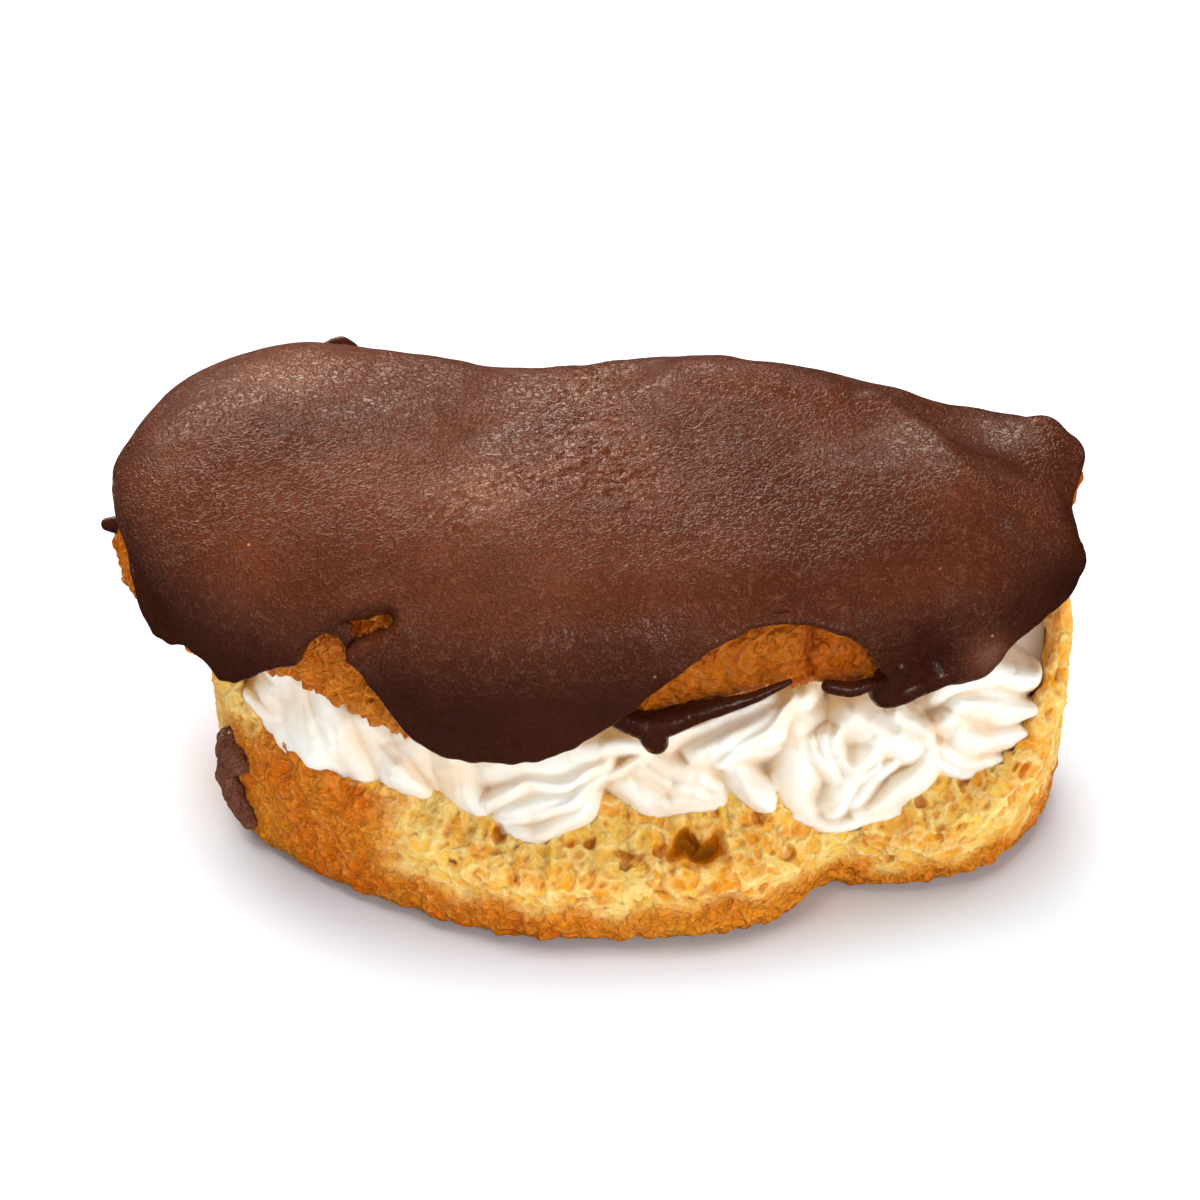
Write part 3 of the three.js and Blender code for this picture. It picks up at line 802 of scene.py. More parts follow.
def melted(name, parts, bloom, rough, **heights):
    """A piece of chocolate from several closed meshes, melted together on a grid of small cells."""
    starts = np.cumsum([0] + [len(points) for points, _ in parts])
    faces = [[i + int(start) for i in face] for (_, f), start in zip(parts, starts) for face in f]
    made = mesh_object(name, np.concatenate([points for points, _ in parts]), faces)
    remesh = made.modifiers.new("melt", "REMESH")
    remesh.mode = "VOXEL"
    remesh.voxel_size = MELT_CELL * MM
    remesh.use_smooth_shade = True
    soft = made.modifiers.new("soften", "SMOOTH")
    soft.factor = 0.5
    soft.iterations = 2
    settle(made)
    note(made, shown=1, bloom=bloom, rough=rough)
    apply_relief(made, ICING_RELIEF, CHOCOLATE, **heights)
    return made


# %% Drips and nubs on the icing's edge
DRIPS = [  # x, y, z and radius along each
    [(2.6, -26.6, 39.8, 1.5), (6.4, -27.6, 38.6, 1.9), (9.8, -27.9, 39, 1.8),
     (13.2, -27.7, 40.4, 1.5), (17.1, -27.4, 41.5, 1.15), (21, -27, 42.7, 0.8),
     (25.4, -26.2, 44.6, 0.4)],
    [(7.6, -27.8, 38.4, 1.7), (8.1, -28.2, 37.0, 1.9), (8.4, -28.2, 36.1, 1.7)],
    [(30.2, -25.6, 43.2, 0.9), (33.2, -25.7, 42.8, 1.1), (35.6, -25.2, 43.2, 0.9)],
    [(-59.5, 3.6, 45.8, 1.5), (-62, 3.2, 46.2, 1.2), (-63.2, 3, 46.4, 0.9)],
    [(-35.2, 27.6, 56.8, 0.9), (-33.5, 27.8, 57.4, 1), (-31.8, 27.6, 56.8, 0.8)],
    [(39.4, -22.9, 44.6, 1.9), (38, -23.3, 42.2, 2), (37.3, -23.6, 40.3, 1.9),
     (39.2, -23.2, 40, 1.8), (41.6, -22.6, 40.8, 1.7)],
    [(60, -4, 45.4, 1.9), (61.8, -2.6, 45.6, 1.7), (63, -1.6, 46, 1.4)],
]
drips = melted("icing_drips", [rope(knots) for knots in DRIPS], 0.1, 0, Sags=0.3)

# %% [markdown]
# ## The base
# The lower half is a boat of choux. Its floor is flat where it stood on the tray. Its back and
# ends are high walls, and its front is torn low, so that a broad slope of yellow crumb shows.
# The table gives x and y of the widest outline, the height of the torn edge, and how far the
# crumb slopes inwards. A smooth curve up each station's profile gives the rings between.

# %% Stations round the base
BASE_STATIONS = [
    (2, -30.4, 13, 9), (15, -29.9, 13, 9), (26, -26, 12.5, 6), (33, -19.4, 12, 4),
    (43, -19.4, 12.5, 6), (53.4, -16.4, 15, 7), (60.9, -8, 22, 5), (63.6, 3, 33, 3.6),
    (59, 14, 34, 3.6), (44, 21, 33.5, 3.6), (25, 24.4, 33, 3.6), (5, 25.4, 32.5, 3.6),
    (-16, 24.4, 32.5, 3.6), (-34, 20, 33, 3.6), (-45.4, 11, 33.5, 3.6), (-49.2, 0, 32, 3.6),
    (-45.4, -9, 27, 3.6), (-36.1, -17.8, 22, 4), (-24, -24.6, 18, 6), (-11, -29.6, 14, 8),
]
BASE_COUNT = 640
BASE_FLAT = 0.72  # share of the width that stands flat on the tray
BASE_FLOOR = 6.0  # top of the floor, inside
BELLY = 6.5  # height at which the base is widest
FLARE = 1.2  # how far the wall leans out above its belly

# %% The base's rings
base_here, base_out = walk_round(BASE_STATIONS, BASE_COUNT, 1.5)
base_share = np.arange(BASE_COUNT) / BASE_COUNT
rim = base_here[:, 2] + 0.5 * wobble(base_share, (41, 67, 103, 151), 12)
slope = base_here[:, 3]


def base_ring(share, height, out=0.0):
    """A ring at a share of the way from the spine to the outline, and moved outwards."""
    x, y = in_plan(base_here, base_out, share, out)
    return np.stack([x, y, np.broadcast_to(height, x.shape)], 1)


def inward(depth, height):
    """A ring on the torn slope: depth is how far inwards, as a share of the slope."""
    return base_ring(1, height, FLARE - slope * depth)


front = ease(-base_here[:, 1], 8, 15) * ease(base_here[:, 0], -42, -26)
front = front * ease(-base_here[:, 0], -60, -50)  # 1 along the low front, 0 elsewhere


def inner_height(floor, share, lift):
    """A height on the inner wall: part of the way up to the rim, or above it along the front."""
    height = floor + (rim - floor) * share
    return height + (rim + lift - height) * front


profile = np.array([
    base_ring(0.1, 0), base_ring(BASE_FLAT, 0), base_ring(0.9, 0.6), base_ring(0.97, 2.6),
    base_ring(1, BELLY), base_ring(1, BELLY + (rim - BELLY) * 0.4, FLARE * 0.4),
    base_ring(1, BELLY + (rim - BELLY) * 0.8, FLARE * 0.8), inward(0.25, rim),
    inward(0.6, rim - 0.4 + 1.6 * front), inward(1, inner_height(BELLY, 0.7, 3.4)),
    inward(1.3, inner_height(BASE_FLOOR, 0.25, 5.2)),
    inward(1.65, inner_height(BASE_FLOOR, 0.1, 6.4)),
    base_ring(0.42, BASE_FLOOR), base_ring(0.1, BASE_FLOOR),
])
up = np.concatenate([  # the underside, the wall, the rim, the torn slope and the floor
    np.linspace(0, 1, 4)[:-1], np.linspace(1, 4, 25)[:-1], np.linspace(4, 7, 38)[:-1],
    np.linspace(7, 11, 54)[:-1], np.linspace(11, 13, 7),
])
base_rings = between(profile, up) + SHIFT
base_rings[..., 2] = np.maximum(base_rings[..., 2], 0)
print("the base has", len(up), "rings of", BASE_COUNT)

# %% Hollows in the torn crumb
HOLLOWS = [  # middle, half lengths, depth
    ((14.3, -25.2, 15.2), (4, 2.1, 2.6), 3.2), ((5.4, -26, 15), (2.4, 0.8, 1.4), 1.4),
    ((14.7, -30.2, 12.6), (1.3, 1, 1.6), 1.2), ((33.2, -22, 10), (1.4, 1.2, 2), 1.2),
    ((31.3, -25.1, 9), (1, 1, 2), 0.9), ((-43, -14, 28), (5, 3, 4), 1.6),
]
DIG_WAY = np.array([0, 0.8, -0.6])  # hollows are dug inwards and down
bent_rings = base_rings + 0.6 * np.sin(1.4 * base_rings[..., [2, 0, 1]])  # for uneven edges
dug = np.zeros(base_rings.shape[:2])
for middle, half, deep in HOLLOWS:
    away = (((bent_rings - middle) / half) ** 2).sum(-1)
    dug += deep * np.exp(-(away**2))
base_rings = base_rings + DIG_WAY * dug[..., None]
print("the deepest hollow goes in by, mm:", dug.max().round(2))

# %% The base's skin
base = skin("base_choux", base_rings)
x, y, z = np.moveaxis(base_rings, -1, 0)
level = np.repeat(up[:, None], BASE_COUNT, 1)
# Crust covers the left end, the back and a low strip. The front is crumb above an uneven line.
left_crust = ease(-x, 22, 30) * ease(-y, 2, 8) * (1 - ease(z, 20, 25) * ease(-x, 41, 45))
edge_height = 8.6 + 1.8 * wobble(base_share, (5, 11, 23), 21) - 2.5 * ease(x, 20, 34)
outside = ease(z, edge_height - 2.5, edge_height + 2.5) * (1 - left_crust)
outside = outside * (1 - ease(y + 2.5 * np.sin(0.4 * z) + 1.2 * np.sin(1.3 * z + 1), 3, 9))
note(
    base, torn=np.maximum(outside, ease(level, 7.4, 8.2)) * ease(level, 3, 3.4),
    baked=0.4 * ease(-z, -4, -0.2) + 0.05 * left_crust + 0.3 * ease(y, 0, 10),
    shown=ease(z, 0.3, 1.6) * ease(level, 0.9, 1.3) * (1 - ease(level, 11.4, 11.9)),
    hollow=np.clip(dug / 1.5, 0, 2), flaky=1,
)


# %% Pores and blisters of the base
def choux_relief(tree, where, given):
    torn = noted(tree, "torn")
    hollow = noted(tree, "hollow")
    bent = tree.bent(where, 0.2, 2.4)
    fold = tree.curls(where, 0.27, 0.1)
    lump = tree.noise(where, 0.14, 3) - 0.5
    fine = tree.noise(where, 0.8, 3) - 0.5
    pore = tree.cells(bent, 0.34).ease(0.12, 0.42, 1, 0)
    pore = pore * tree.cells(bent, 0.34, output="Color").ease(0.35, 0.6)
    small = tree.cells(bent, 0.75).ease(0.1, 0.4, 1, 0)
    blister = tree.cells(bent, 0.4).ease(0, 0.9, 1, 0)
    ground = lump * given["Lumps"] + fine * given["Grain"]
    crust = ground + blister * given["Blisters"] - fold * given["Folds"]
    crumb = ground + fold * given["Folds"] - pore * given["Pores"] - small * given["Pin holes"]
    outside = hollow.ease(0, 1, 1, 0)
    height = crust * (1 - torn) + crumb * torn * (outside * 0.8 + 0.2)
    # Kept as "pore": the pores, and the hollows, whose deepest parts the finish paints darker as
    # shade.
    pore_and_hollow_shade = (pore * 0.7 + small * 0.35) * torn * outside + hollow
    return height, {"pore": pore_and_hollow_shade}


CHOUX_HEIGHTS = {
    "Lumps": 1.2, "Blisters": 0.7, "Folds": 0.3, "Grain": 0.6, "Pores": 1.3, "Pin holes": 0.5,
}
CHOUX_RELIEF = relief("choux_relief", CHOUX_HEIGHTS, choux_relief)
apply_relief(base, CHOUX_RELIEF, PASTRY)

# %% [markdown]
# Some chocolate ran down the left end of the base and dried. It is made of ropes, as the drips
# are, with a paler and rougher look.

# %% A smear of chocolate on the base
SMEARS = [
    [(-48, -6.6, 17.4, 1.7), (-47.6, -7.6, 16, 2.2), (-46.8, -9, 14.8, 1.5)],
    [(-48.8, -5.6, 13, 1.2), (-48.6, -6.2, 9.8, 1.5), (-47.4, -7.6, 7, 1.4),
     (-46, -9.2, 4.8, 0.9)],
]
smear_ropes = [rope(knots, 24) for knots in SMEARS]
# A value of 1.7 makes the smear pale brown, partly with the colour of the painted highlight.
smear = melted("chocolate_smear", smear_ropes, 1.7, 0.6, Sags=1.0, Ripples=1.6)

# %% [markdown]
# ## The cream
# The cream was piped in fat strands that come out from under the lid and fold back in over the
# base. A plain bed of cream fills the inside. The face that shows is made apart, in more detail.

# %% The bed of cream
BED_RINGS = 40
BED_SLOPE = 1.5  # it starts this many slopes of the base in from the outline
BED = [(7, 5.5), (6, 9), (4, 18), (0.8, 31), (0.8, 37), (8, 41)]  # how far back, and the height
bed_profile = [base_ring(1, height, -slope * BED_SLOPE - back) + SHIFT for back, height in BED]
bed_rings = between(np.array(bed_profile), np.linspace(0, len(BED) - 1, BED_RINGS))[:, ::2]
print("the bed has", len(bed_rings), "rings of", bed_rings.shape[1])
bed = skin("cream_bed", bed_rings)
# The whole bed lies under the lid and is given painted shade.
note(bed, shown=1, crease=0.6)

# %% [markdown]
# The strands lie over one another like petals, with crisp creases where they meet. The face is a
# grid as seen from the front and 40 degrees above, where a place is x and the rise up the view.
# Each strand is a stroke on that grid: a line of places with a half width and a height. Each
# point takes the height of the stroke that stands out most. Taking the most, and not the sum, is
# what keeps the creases crisp.

# %% Strokes of cream
STROKES = [  # x, rise, half width and height of the places that each strand runs through
    [(-39.2, -10.7, 3.6, 2.2), (-37.7, -15.9, 4.2, 3), (-35.3, -20.4, 4.4, 3),
     (-31.8, -23.8, 3.6, 2.2)],
    [(-34, -11.7, 3.4, 3.8), (-32.9, -17.5, 3.8, 5), (-30.1, -22.7, 3.4, 3.4)],
    [(-29.2, -16.6, 4, 3.2), (-26.2, -21, 4.2, 3.6), (-23.4, -25.3, 3.2, 2.6)],
    [(-27.5, -19.2, 2.2, 3.8), (-25.2, -22.3, 2.9, 5.4), (-22.3, -25.5, 2, 4.2)],
    [(-24, -18.8, 4, 2.6), (-20.5, -22.7, 3.6, 2.4), (-18.8, -26.4, 2.6, 1.8)],
    [(-17.5, -21, 4.4, 3.6), (-16.5, -24.9, 4.2, 4.2), (-14.3, -28.6, 3, 3.8)],
    [(-12.3, -21.4, 4, 4.2), (-6.5, -22.1, 4.6, 5.2), (0, -20.1, 4.2, 4.8)],
    [(1.6, -21.3, 2.2, 5.6), (-2.9, -23.3, 2.6, 6.3), (-8.4, -24.3, 2.6, 6),
     (-12.7, -26.8, 2.4, 5)],
    [(1.6, -23.3, 1.8, 5), (-2.3, -25.5, 2.8, 6.6), (-7.5, -27, 2.8, 6.4), (-12, -29.1, 2, 5)],
    [(-10.9, -30.9, 2.2, 4.8), (-6.5, -30.8, 3, 6.2), (-2.1, -28.6, 2.7, 5.6),
     (0.3, -26, 1.8, 4.4)],
    [(2.1, -18.7, 2.4, 4.6), (5.7, -19.2, 2.4, 5.4), (7, -20.4, 1.6, 5), (4.4, -22.3, 1.6, 4.4),
     (2.1, -23.3, 1.4, 3.6)],
    [(5.2, -24.2, 2.8, 3.6), (8.8, -26.4, 3.4, 4.4), (13, -26.8, 3.2, 4.6), (16.4, -26, 2.6, 4)],
    [(6.5, -22.3, 2.4, 4.4), (11.2, -24.2, 2.7, 5.3), (15.1, -26.4, 2, 4.6)],
    [(8.4, -21, 2.8, 4.4), (13, -22.6, 3, 5.8), (16.4, -24.9, 2, 5)],
    [(27.5, -12.7, 2.2, 4.6), (23.1, -16.1, 3.8, 6.6), (17.2, -18.7, 4.2, 7.2),
     (14.3, -19.8, 3.2, 6.2)],
    [(26.2, -12.7, 1.6, 5.6), (24.2, -15.9, 2, 7.4), (20.5, -18.5, 2.2, 7.8),
     (17.2, -21.3, 1.8, 7)],
    [(18.7, -22.6, 2.4, 5), (21.3, -24.7, 2.9, 6.4), (23.1, -26.5, 2.4, 5.8),
     (24.3, -27.8, 1.4, 4.4)],
    [(10.1, -18.5, 2.4, 4.6), (14.3, -16.1, 2.2, 4.8), (18.8, -14.6, 2, 4.6),
     (23.4, -13.3, 1.8, 4.2)],
    [(27.5, -15.9, 3.4, 4.2), (27.3, -21.4, 3.8, 5), (27.3, -26, 3.4, 4.6),
     (29.1, -28.6, 2.6, 4)],
    [(34, -15.9, 3.6, 5.4), (38.7, -17.7, 4.2, 6.6), (41.3, -19.8, 3.6, 6)],
    [(36.6, -20.3, 3.2, 6.6), (34, -23.4, 3.2, 6.2), (32, -26.8, 2.8, 5.4)],
    [(44.4, -21, 2.4, 5), (42.4, -24, 3, 6.2), (39.2, -26.5, 3.2, 6.2), (35.3, -28.3, 2.4, 5)],
    [(27.5, -29.1, 1.8, 3.8), (31.4, -29.8, 2.2, 4.8), (36.6, -29.5, 1.8, 4.6),
     (40.9, -28.3, 1.6, 3.8)],
    [(40, -15.1, 2.8, 5), (43.4, -17.2, 2.4, 5.2), (44.7, -20, 1.8, 4.4)],
    [(32, -17.9, 1.8, 6), (32.9, -21, 1.9, 6.8), (35.1, -22.9, 1.7, 6.6),
     (37.7, -21.6, 1.4, 6.4)],
    [(28.8, -17.9, 1.6, 5.2), (29.6, -21, 1.8, 5.8), (31.7, -23.6, 1.6, 5.8)],
    [(46.2, -11.9, 2.6, 4), (49, -10.7, 2.6, 5), (53.8, -9.5, 2.4, 5), (58.3, -10.4, 1.8, 4)],
    [(48.4, -14, 2.6, 5.4), (52, -13.4, 2.8, 6.2), (55.4, -14.6, 2.6, 5.6), (59, -14.9, 1.5, 4)],
    [(47, -16.4, 2.6, 5), (50.4, -18.2, 2.8, 6), (54.4, -18.4, 2.6, 5.4), (57.4, -18.4, 1.5, 4)],
    [(46.6, -19.8, 2, 4.4), (49.6, -21.4, 2.2, 4.8), (53, -21.9, 2, 4.4),
     (55.6, -21.7, 1.3, 3.4)],
    [(-42.6, -12.6, 2.8, 2.2), (-40.9, -17.6, 3, 2.6), (-37.6, -22.2, 2.8, 2.4)],
    [(-45.4, -12, 1.3, 3), (-43.6, -14.2, 1.6, 3.2), (-42.2, -15.6, 1.2, 3)],
    [(45.2, -21.3, 1.6, 3.8), (48.3, -22.7, 1.5, 3.8), (52, -23.5, 1.2, 3.2)],
    [(30.6, -17.5, 1.9, 5.3), (31.3, -21.2, 2, 5.7), (33, -24.6, 1.9, 5.6)],
    [(39.6, -21.6, 2, 5.9), (37.2, -23.8, 2.4, 6), (34.6, -26.6, 2, 5.4)],
]

# %% How far a stroke stands out
VIEW_TILT = math.radians(40)
VIEW_LEVEL = 36  # height at which the rise is 0, in the middle of the eclair
TEETH = 1.8  # distance between the lines that the nozzle's teeth leave
TOOTH_DEPTH = 0.05
STROKE_EDGE = 1.0  # how far behind the wall a stroke is at its half width
LOWEST = -30.0  # the height where no stroke is near


def sideways(away, along):
    """How far to the left of a line that runs along this way a place lies."""
    return (along[0] * away[:, 1] - along[1] * away[:, 0]) / np.hypot(*along)


def stroke_height(seen, knots):
    """How far a stroke stands out at places (x, rise): less than nothing away from it."""
    rows = through(knots, np.linspace(0, len(knots) - 1, 7 * len(knots) - 6), False)
    height = np.full(len(seen), LOWEST)
    for a, b in zip(rows, rows[1:]):
        share, away = beside(seen, a[:2], b[:2])
        across = sideways(away, (b - a)[:2])
        half, top = (a[2:] + share[:, None] * (b - a)[2:]).T
        here = top - (top + STROKE_EDGE) * (away**2).sum(1) / half**2
        here += TOOTH_DEPTH * np.cos(2 * np.pi * across / TEETH + knots[0][0])
        height = np.maximum(height, here)
    return height


# %% The grid of the cream's face
WALL = [  # x, y of the wall that strokes stand on
    (-48, -3), (-46, -7), (-42, -11.2), (-37, -15.2), (-30, -17), (-22, -19), (-10, -20),
    (5, -19), (20, -18), (33, -16), (42, -14), (50, -10.5), (56, -7.5), (61, -4),
]
FACE_LOW = [  # x, rise of the grid's lower edge
    (-47, -13), (-42, -20), (-36, -26), (-28, -31), (-20, -34), (0, -35.5), (30, -35), (40, -33),
    (48, -29), (54, -26), (61, -20),
]
FACE_LEFT, FACE_RIGHT, FACE_TOP = -47, 61, 2.0
FACE_BACK = -9.0  # where the face ends, inside the bed
FACE_COLUMNS, FACE_ROWS = 400, 130
columns = np.linspace(FACE_LEFT, FACE_RIGHT, FACE_COLUMNS)
low_edge = np.interp(columns, *np.transpose(FACE_LOW))
up_share = np.linspace(0, 1, FACE_ROWS)[:, None]
face_rise = low_edge + (FACE_TOP - low_edge) * up_share
face_x = np.broadcast_to(columns, face_rise.shape)
seen_x = face_x + 0.35 * np.sin(0.35 * face_x + 0.5 * face_rise)  # places curl a little
seen_x = seen_x + 0.15 * np.sin(0.9 * face_rise - 0.4 * face_x)
seen_rise = face_rise + 0.35 * np.sin(0.5 * face_x - 0.3 * face_rise + 2)
seen_rise = seen_rise + 0.15 * np.sin(0.8 * face_x + 0.6 * face_rise)
seen = np.stack([seen_x, seen_rise], -1).reshape(-1, 2)
stand_out = np.max([stroke_height(seen, knots) for knots in STROKES], 0)
print("the face has", len(seen), "points, and stands out by, mm:", stand_out.max().round(1))

# %% [markdown]
# Where one fold lies over the next there is a step. Each step is a line on the same grid. The
# places on its raised side are lifted, less and less away from it. Wherever the face lies deeper
# than the face around it, once that is blurred, it gets a painted warm shade.

# %% Steps between the folds
FOLDS = [  # a line of x and rise, how far its raised side slopes, and its height
    ([(-34.8, -13), (-33.8, -17.5), (-32.7, -23.1)], 4, -0.9),
    ([(-37.4, -12.3), (-37.3, -16.2), (-36.1, -20.8)], 3, 0.7),
    ([(-29.1, -19.2), (-27.5, -23.4), (-24.7, -26), (-21.4, -26.8)], 4, 0.9),
    ([(-24.4, -19.2), (-22.7, -22.3), (-21, -25.5)], 3.5, -0.9),
    ([(-20, -21.4), (-19.7, -26)], 3.5, 0.8),
    ([(-16.6, -22.1), (-16.6, -25.3), (-14.6, -29.9)], 3, 0.5),
    ([(0, -22.3), (-3.2, -25.7), (-6.5, -27.5), (-11, -29), (-13, -29.1)], 5, 1),
    ([(0.8, -21.4), (-2.6, -23.1), (-5.8, -23.4), (-9.1, -24)], 3.5, 0.6),
    ([(1.3, -24), (-0.3, -27.5), (-3.2, -30.9)], 3, 0.5),
    ([(7.5, -19.8), (4.9, -22.3), (1.7, -23.5)], 4, -0.9),
    ([(28.3, -11.7), (27.3, -13.8), (26, -15.9), (25.2, -17.7), (23.1, -19),
      (19.2, -20.4)], 6, -1.3),
    ([(19.2, -20.4), (17.2, -19.2), (16.2, -17.5)], 3, -0.5),
    ([(5.2, -22.5), (6.5, -24.7), (8.4, -26.4)], 4, -0.7),
    ([(10.7, -22.1), (10.1, -25.3), (11.2, -27.9)], 3, 0.6),
    ([(17.9, -21), (19.8, -23.6), (20.5, -26), (22.6, -28.8)], 4.5, 0.9),
    ([(24, -21.4), (24.7, -24.7), (24.2, -26.2)], 3.5, -0.8),
    ([(26, -17.5), (26.8, -19.8), (29.2, -21.8), (31.4, -22.9)], 4, 0.8),
    ([(32.2, -18.5), (33.1, -21.3), (35.1, -23.3)], 4.5, 0.9),
    ([(34.8, -15.9), (36.8, -17.3), (35.9, -19)], 3, 0.6),
    ([(44.2, -21.6), (40.9, -22.3), (38.7, -24.7), (36.4, -26.8), (34.8, -28.1)], 4, 0.8),
    ([(34, -25.3), (31.2, -27.5), (27.9, -29.9)], 3.5, 0.5),
    ([(43.1, -15.5), (45.2, -17.4), (46, -19.5), (45.5, -22.3)], 5, -1.2),
    ([(47.6, -12.8), (51.2, -12), (55.6, -12.5), (59.2, -12.9)], 3.5, 0.9),
    ([(48.2, -15.8), (51.6, -16.2), (55.4, -16.8), (58.6, -16.6)], 3.5, 0.9),
    ([(50.6, -10.6), (52.6, -13.4), (55.8, -15.4)], 3, -0.5),
    ([(46.8, -19.4), (50.4, -20.4), (54.2, -20.4)], 3, 0.8),
]


# %% The lift of a step
def step_along(seen, line, slope, height):
    """The lift that one step gives to places (x, rise)."""
    line = np.asarray(line)
    nearest = np.full(len(seen), np.inf)
    side, share = np.zeros(len(seen)), np.zeros(len(seen))
    for k, (a, b) in enumerate(zip(line, line[1:])):
        t, away = beside(seen, a, b)
        gap = np.hypot(*away.T)
        closer = gap < nearest
        nearest = np.where(closer, gap, nearest)
        side = np.where(closer, sideways(away, b - a), side)
        share = np.where(closer, (k + t) / (len(line) - 1), share)
    raised = ease(side * np.sign(height), -0.2, 0.2)
    ends = ease(share, 0, 0.25) * ease(1 - share, 0, 0.25)
    groove = 0.5 * np.exp(-((nearest / 0.45) ** 2))
    return abs(height) * ends * (raised * np.exp(-nearest / slope) - groove)


def blurred(grid, times):
    """The grid with each value averaged with its neighbours, a number of times."""
    for _ in range(times):
        wide = np.pad(grid, 1, mode="edge")
        around = wide[:-2, 1:-1] + wide[2:, 1:-1] + wide[1:-1, :-2] + wide[1:-1, 2:]
        grid = (wide[1:-1, 1:-1] * 4 + around) / 8
    return grid


# %% The steps of the face, and the painted shade in its creases
stand_out = stand_out + sum(step_along(seen, *fold) for fold in FOLDS)
stand_out = blurred(stand_out.reshape(face_rise.shape), 1)
DEEP_SHADE = [  # x, rise, spread and amount of places that lie deep, painted warmer and darker as shade
    (-29.5, -18.5, 3, 1), (-22, -21, 2.5, 0.8), (9, -21.5, 4, 0.9), (-18.2, -23.6, 3, 1.4),
    (26, -15.5, 2.5, 0.6), (45, -17, 2, 0.6), (-38, -13, 3, 0.9), (-43, -13.5, 2.5, 0.8),
    (3, -22, 2, 0.5),
]
standing = np.maximum(stand_out, 0)
crease = np.clip((blurred(standing, 30) - stand_out - 0.1) / 1.2, 0, 1)
crease = np.clip(crease + 0.25 * np.clip(blurred(standing, 200) - stand_out, 0, 2), 0, 1)
for x, rise, spread, amount in DEEP_SHADE:
    crease += amount * np.exp(-((face_x - x) ** 2 + (face_rise - rise) ** 2) / spread**2)
print("share of the face in creases:", (crease > 0.5)[stand_out > 0].mean().round(2))

# %% The face as a closed skin
tilt_cos, tilt_sin = math.cos(VIEW_TILT), math.sin(VIEW_TILT)
wall_y = np.interp(columns, *np.transpose(WALL))
depth = (face_rise * tilt_sin - wall_y) / tilt_cos + stand_out
rows_in = np.minimum(up_share, 1 - up_share) * 30  # about millimetres
border = np.minimum(rows_in, np.minimum(columns - FACE_LEFT, FACE_RIGHT - columns))
depth = FACE_BACK + (np.maximum(depth, FACE_BACK) - FACE_BACK) * ease(border, 0, 1.5)


def from_view(x, rise, depth):
    """x, y, z of a place on the view and its depth towards the viewer."""
    level = VIEW_LEVEL + rise * tilt_cos + depth * tilt_sin
    return np.stack([x, rise * tilt_sin - depth * tilt_cos, level], -1)


face_points = from_view(face_x, face_rise, depth).reshape(-1, 3)
middle = from_view(*(np.array([v]) for v in (8.0, -15.0, FACE_BACK - 1)))  # closes the back
index = np.arange(FACE_ROWS * FACE_COLUMNS).reshape(FACE_ROWS, FACE_COLUMNS)
quads = np.stack([index[:-1, :-1], index[:-1, 1:], index[1:, 1:], index[1:, :-1]], -1)
loop = np.concatenate([index[0, :-1], index[:-1, -1], index[-1, :0:-1], index[:0:-1, 0]])
closing = [[int(b), int(a), index.size] for a, b in zip(loop, np.roll(loop, -1))]
face_faces = quads.reshape(-1, 4).tolist() + closing
strands = mesh_object("piped_cream", np.concatenate([face_points, middle]), face_faces)
note(strands, shown=np.append(depth > FACE_BACK + 0.5, 0), crease=np.append(crease, 0))


# %% Small folds in the cream
def cream_relief(tree, where, given):
    bent = tree.bent(where, 0.12, 4)
    fold = (tree.noise(bent, 0.12) - 0.5).size().ease(0, 0.08, 1, 0)
    soft = tree.noise(where, 0.2) - 0.5
    # The grooves of the small folds are kept as "fold", which the finish paints a warmer beige, as
    # shade.
    return soft * given["Softness"] - fold * given["Folds"], {"fold": fold * 0.25}


CREAM_HEIGHTS = {"Softness": 0.35, "Folds": 0.2}
CREAM_RELIEF = relief("cream_relief", CREAM_HEIGHTS, cream_relief)
apply_relief(strands, CREAM_RELIEF, CREAM)
apply_relief(bed, CREAM_RELIEF, CREAM)

# %% [markdown]
# ## Which piece stands for which solid
# Every piece rides on the eclair's one body, and the imported solid that it is shown instead of
# is hidden.

# %% Ride and replace
PIECES = [
    (lid, "lid_bun", "crust"), (icing, "icing", "chocolate"), (drips, "icing", "chocolate"),
    (base, "base_bun", "choux"), (smear, "base_bun", "chocolate"), (strands, "cream", "cream"),
    (bed, "cream", "cream"),
]
for piece, node, finish in PIECES:
    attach(piece, "root")
    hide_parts(node)
print("shown for the solids:", {piece.name: node for piece, node, _ in PIECES})

# %% [markdown]
# ## Floor, light and camera
# A white sweep with a big soft light overhead gives the gentle shadow of a product picture. The
# camera stands off with a long lens, looking down, so that the eclair is hardly foreshortened.

# %% A pale floor
FLOOR_HALF = 3000.0  # half its side
corners = [(x * FLOOR_HALF, y * FLOOR_HALF, 0) for x, y in ((-1, -1), (1, -1), (1, 1), (-1, 1))]
floor = mesh_object("floor", corners, [(0, 1, 2, 3)])


def pale(tree, where):
    cloud = tree.noise(where, 0.004)
    colour = tree.mix(cloud.ease(0.3, 0.7), (226, 232, 240), (229, 235, 243))
    return colour, cloud.ease(0.3, 0.7, 0.85, 0.9), cloud * 0.01


floor.data.materials.append(finish_of("pale_floor", pale, Specular_IOR_Level=0.1))
floor.visible_glossy = False

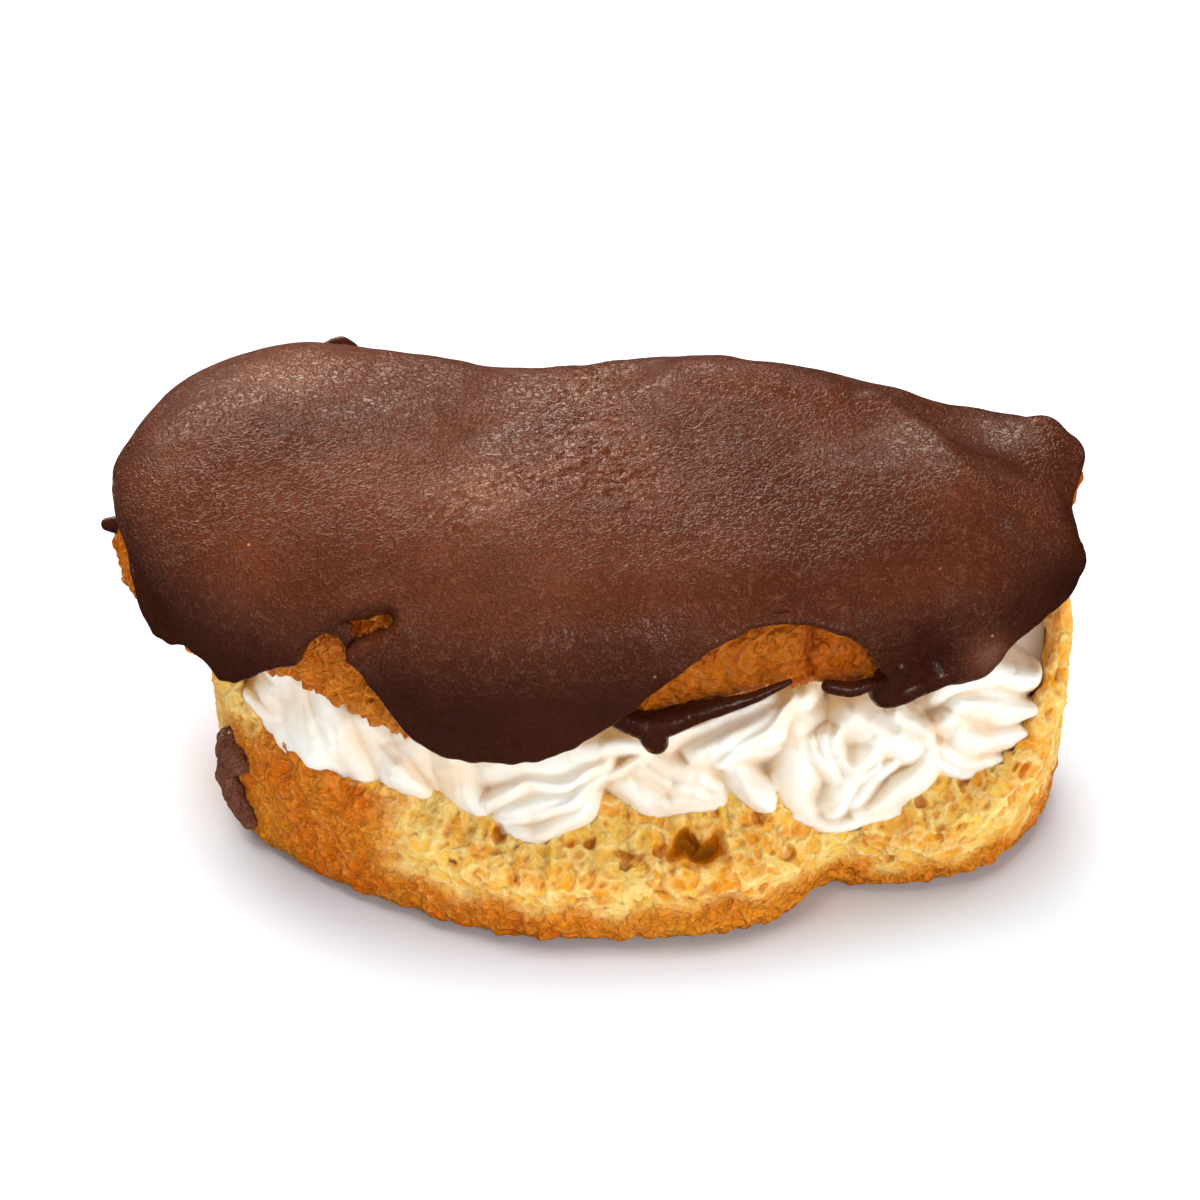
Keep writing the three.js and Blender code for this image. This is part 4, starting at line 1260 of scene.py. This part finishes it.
# %% Soft lights
WHITE = (1, 1, 1)
FILL = (0.6, 0.3)
LIGHTS = [  # name, place, length and width, watts, colour and the rays that don't see it
    ("overhead", (-0.1, 0.1, 1.0), (0.8, 0.7), 15.5, WHITE, "glossy"),
    ("key", (-0.3, 0.85, 0.42), (0.9, 0.4), 8.0, (1, 0.88, 0.76), None),
    ("glints", (0.15, -0.75, 0.5), (0.16, 0.16), 2.2, (1, 0.94, 0.88), "diffuse"),
    ("front_fill", (0.45, -0.85, 0.42), FILL, 4.8, WHITE, "glossy"),
    ("left_fill", (-0.9, -0.3, 0.2), FILL, 1.1, WHITE, "glossy"),
    ("right_fill", (0.9, -0.35, 0.2), FILL, 2.0, WHITE, "glossy"),
]
LIT = Vector((0, 0, 0.03))  # the place that every light faces
for name, place, size, watts, colour, unseen in LIGHTS:
    lamp = bpy.data.lights.new(name, "AREA")
    lamp.shape = "RECTANGLE"
    lamp.size, lamp.size_y = size
    lamp.energy = watts
    lamp.color = colour
    light = added(name, lamp)
    light.location = place
    light.rotation_euler = (LIT - Vector(place)).to_track_quat("-Z", "Y").to_euler()
    if unseen:
        setattr(light, "visible_" + unseen, False)
print("lights:", [name for name, *_ in LIGHTS])

# %% A dim white sky and plain colours
SKY = 0.13  # its strength
world = bpy.data.worlds.new("studio")
world.use_nodes = True
sky = world.node_tree.nodes["Background"]
sky.inputs["Color"].default_value = (*WHITE, 1)
sky.inputs["Strength"].default_value = SKY
bpy.context.scene.world = world
world.cycles_visibility.glossy = False
bpy.context.scene.view_settings.view_transform = "Standard"

# %% The camera
TARGET = Vector((1.3, 0, 36)) * MM
DISTANCE = 0.6
ELEVATION = math.radians(40)
SENSOR, LENS = 36, 136.36
camera_data = bpy.data.cameras.new("camera")
camera_data.sensor_width = SENSOR
camera_data.lens = LENS
camera = added("camera", camera_data)
back = Vector((0, -math.cos(ELEVATION), math.sin(ELEVATION)))
camera.location = TARGET + back * DISTANCE
camera.rotation_euler = (-back).to_track_quat("-Z", "Y").to_euler()
bpy.context.scene.camera = camera
print("the camera is at, m:", [round(v, 3) for v in camera.location])
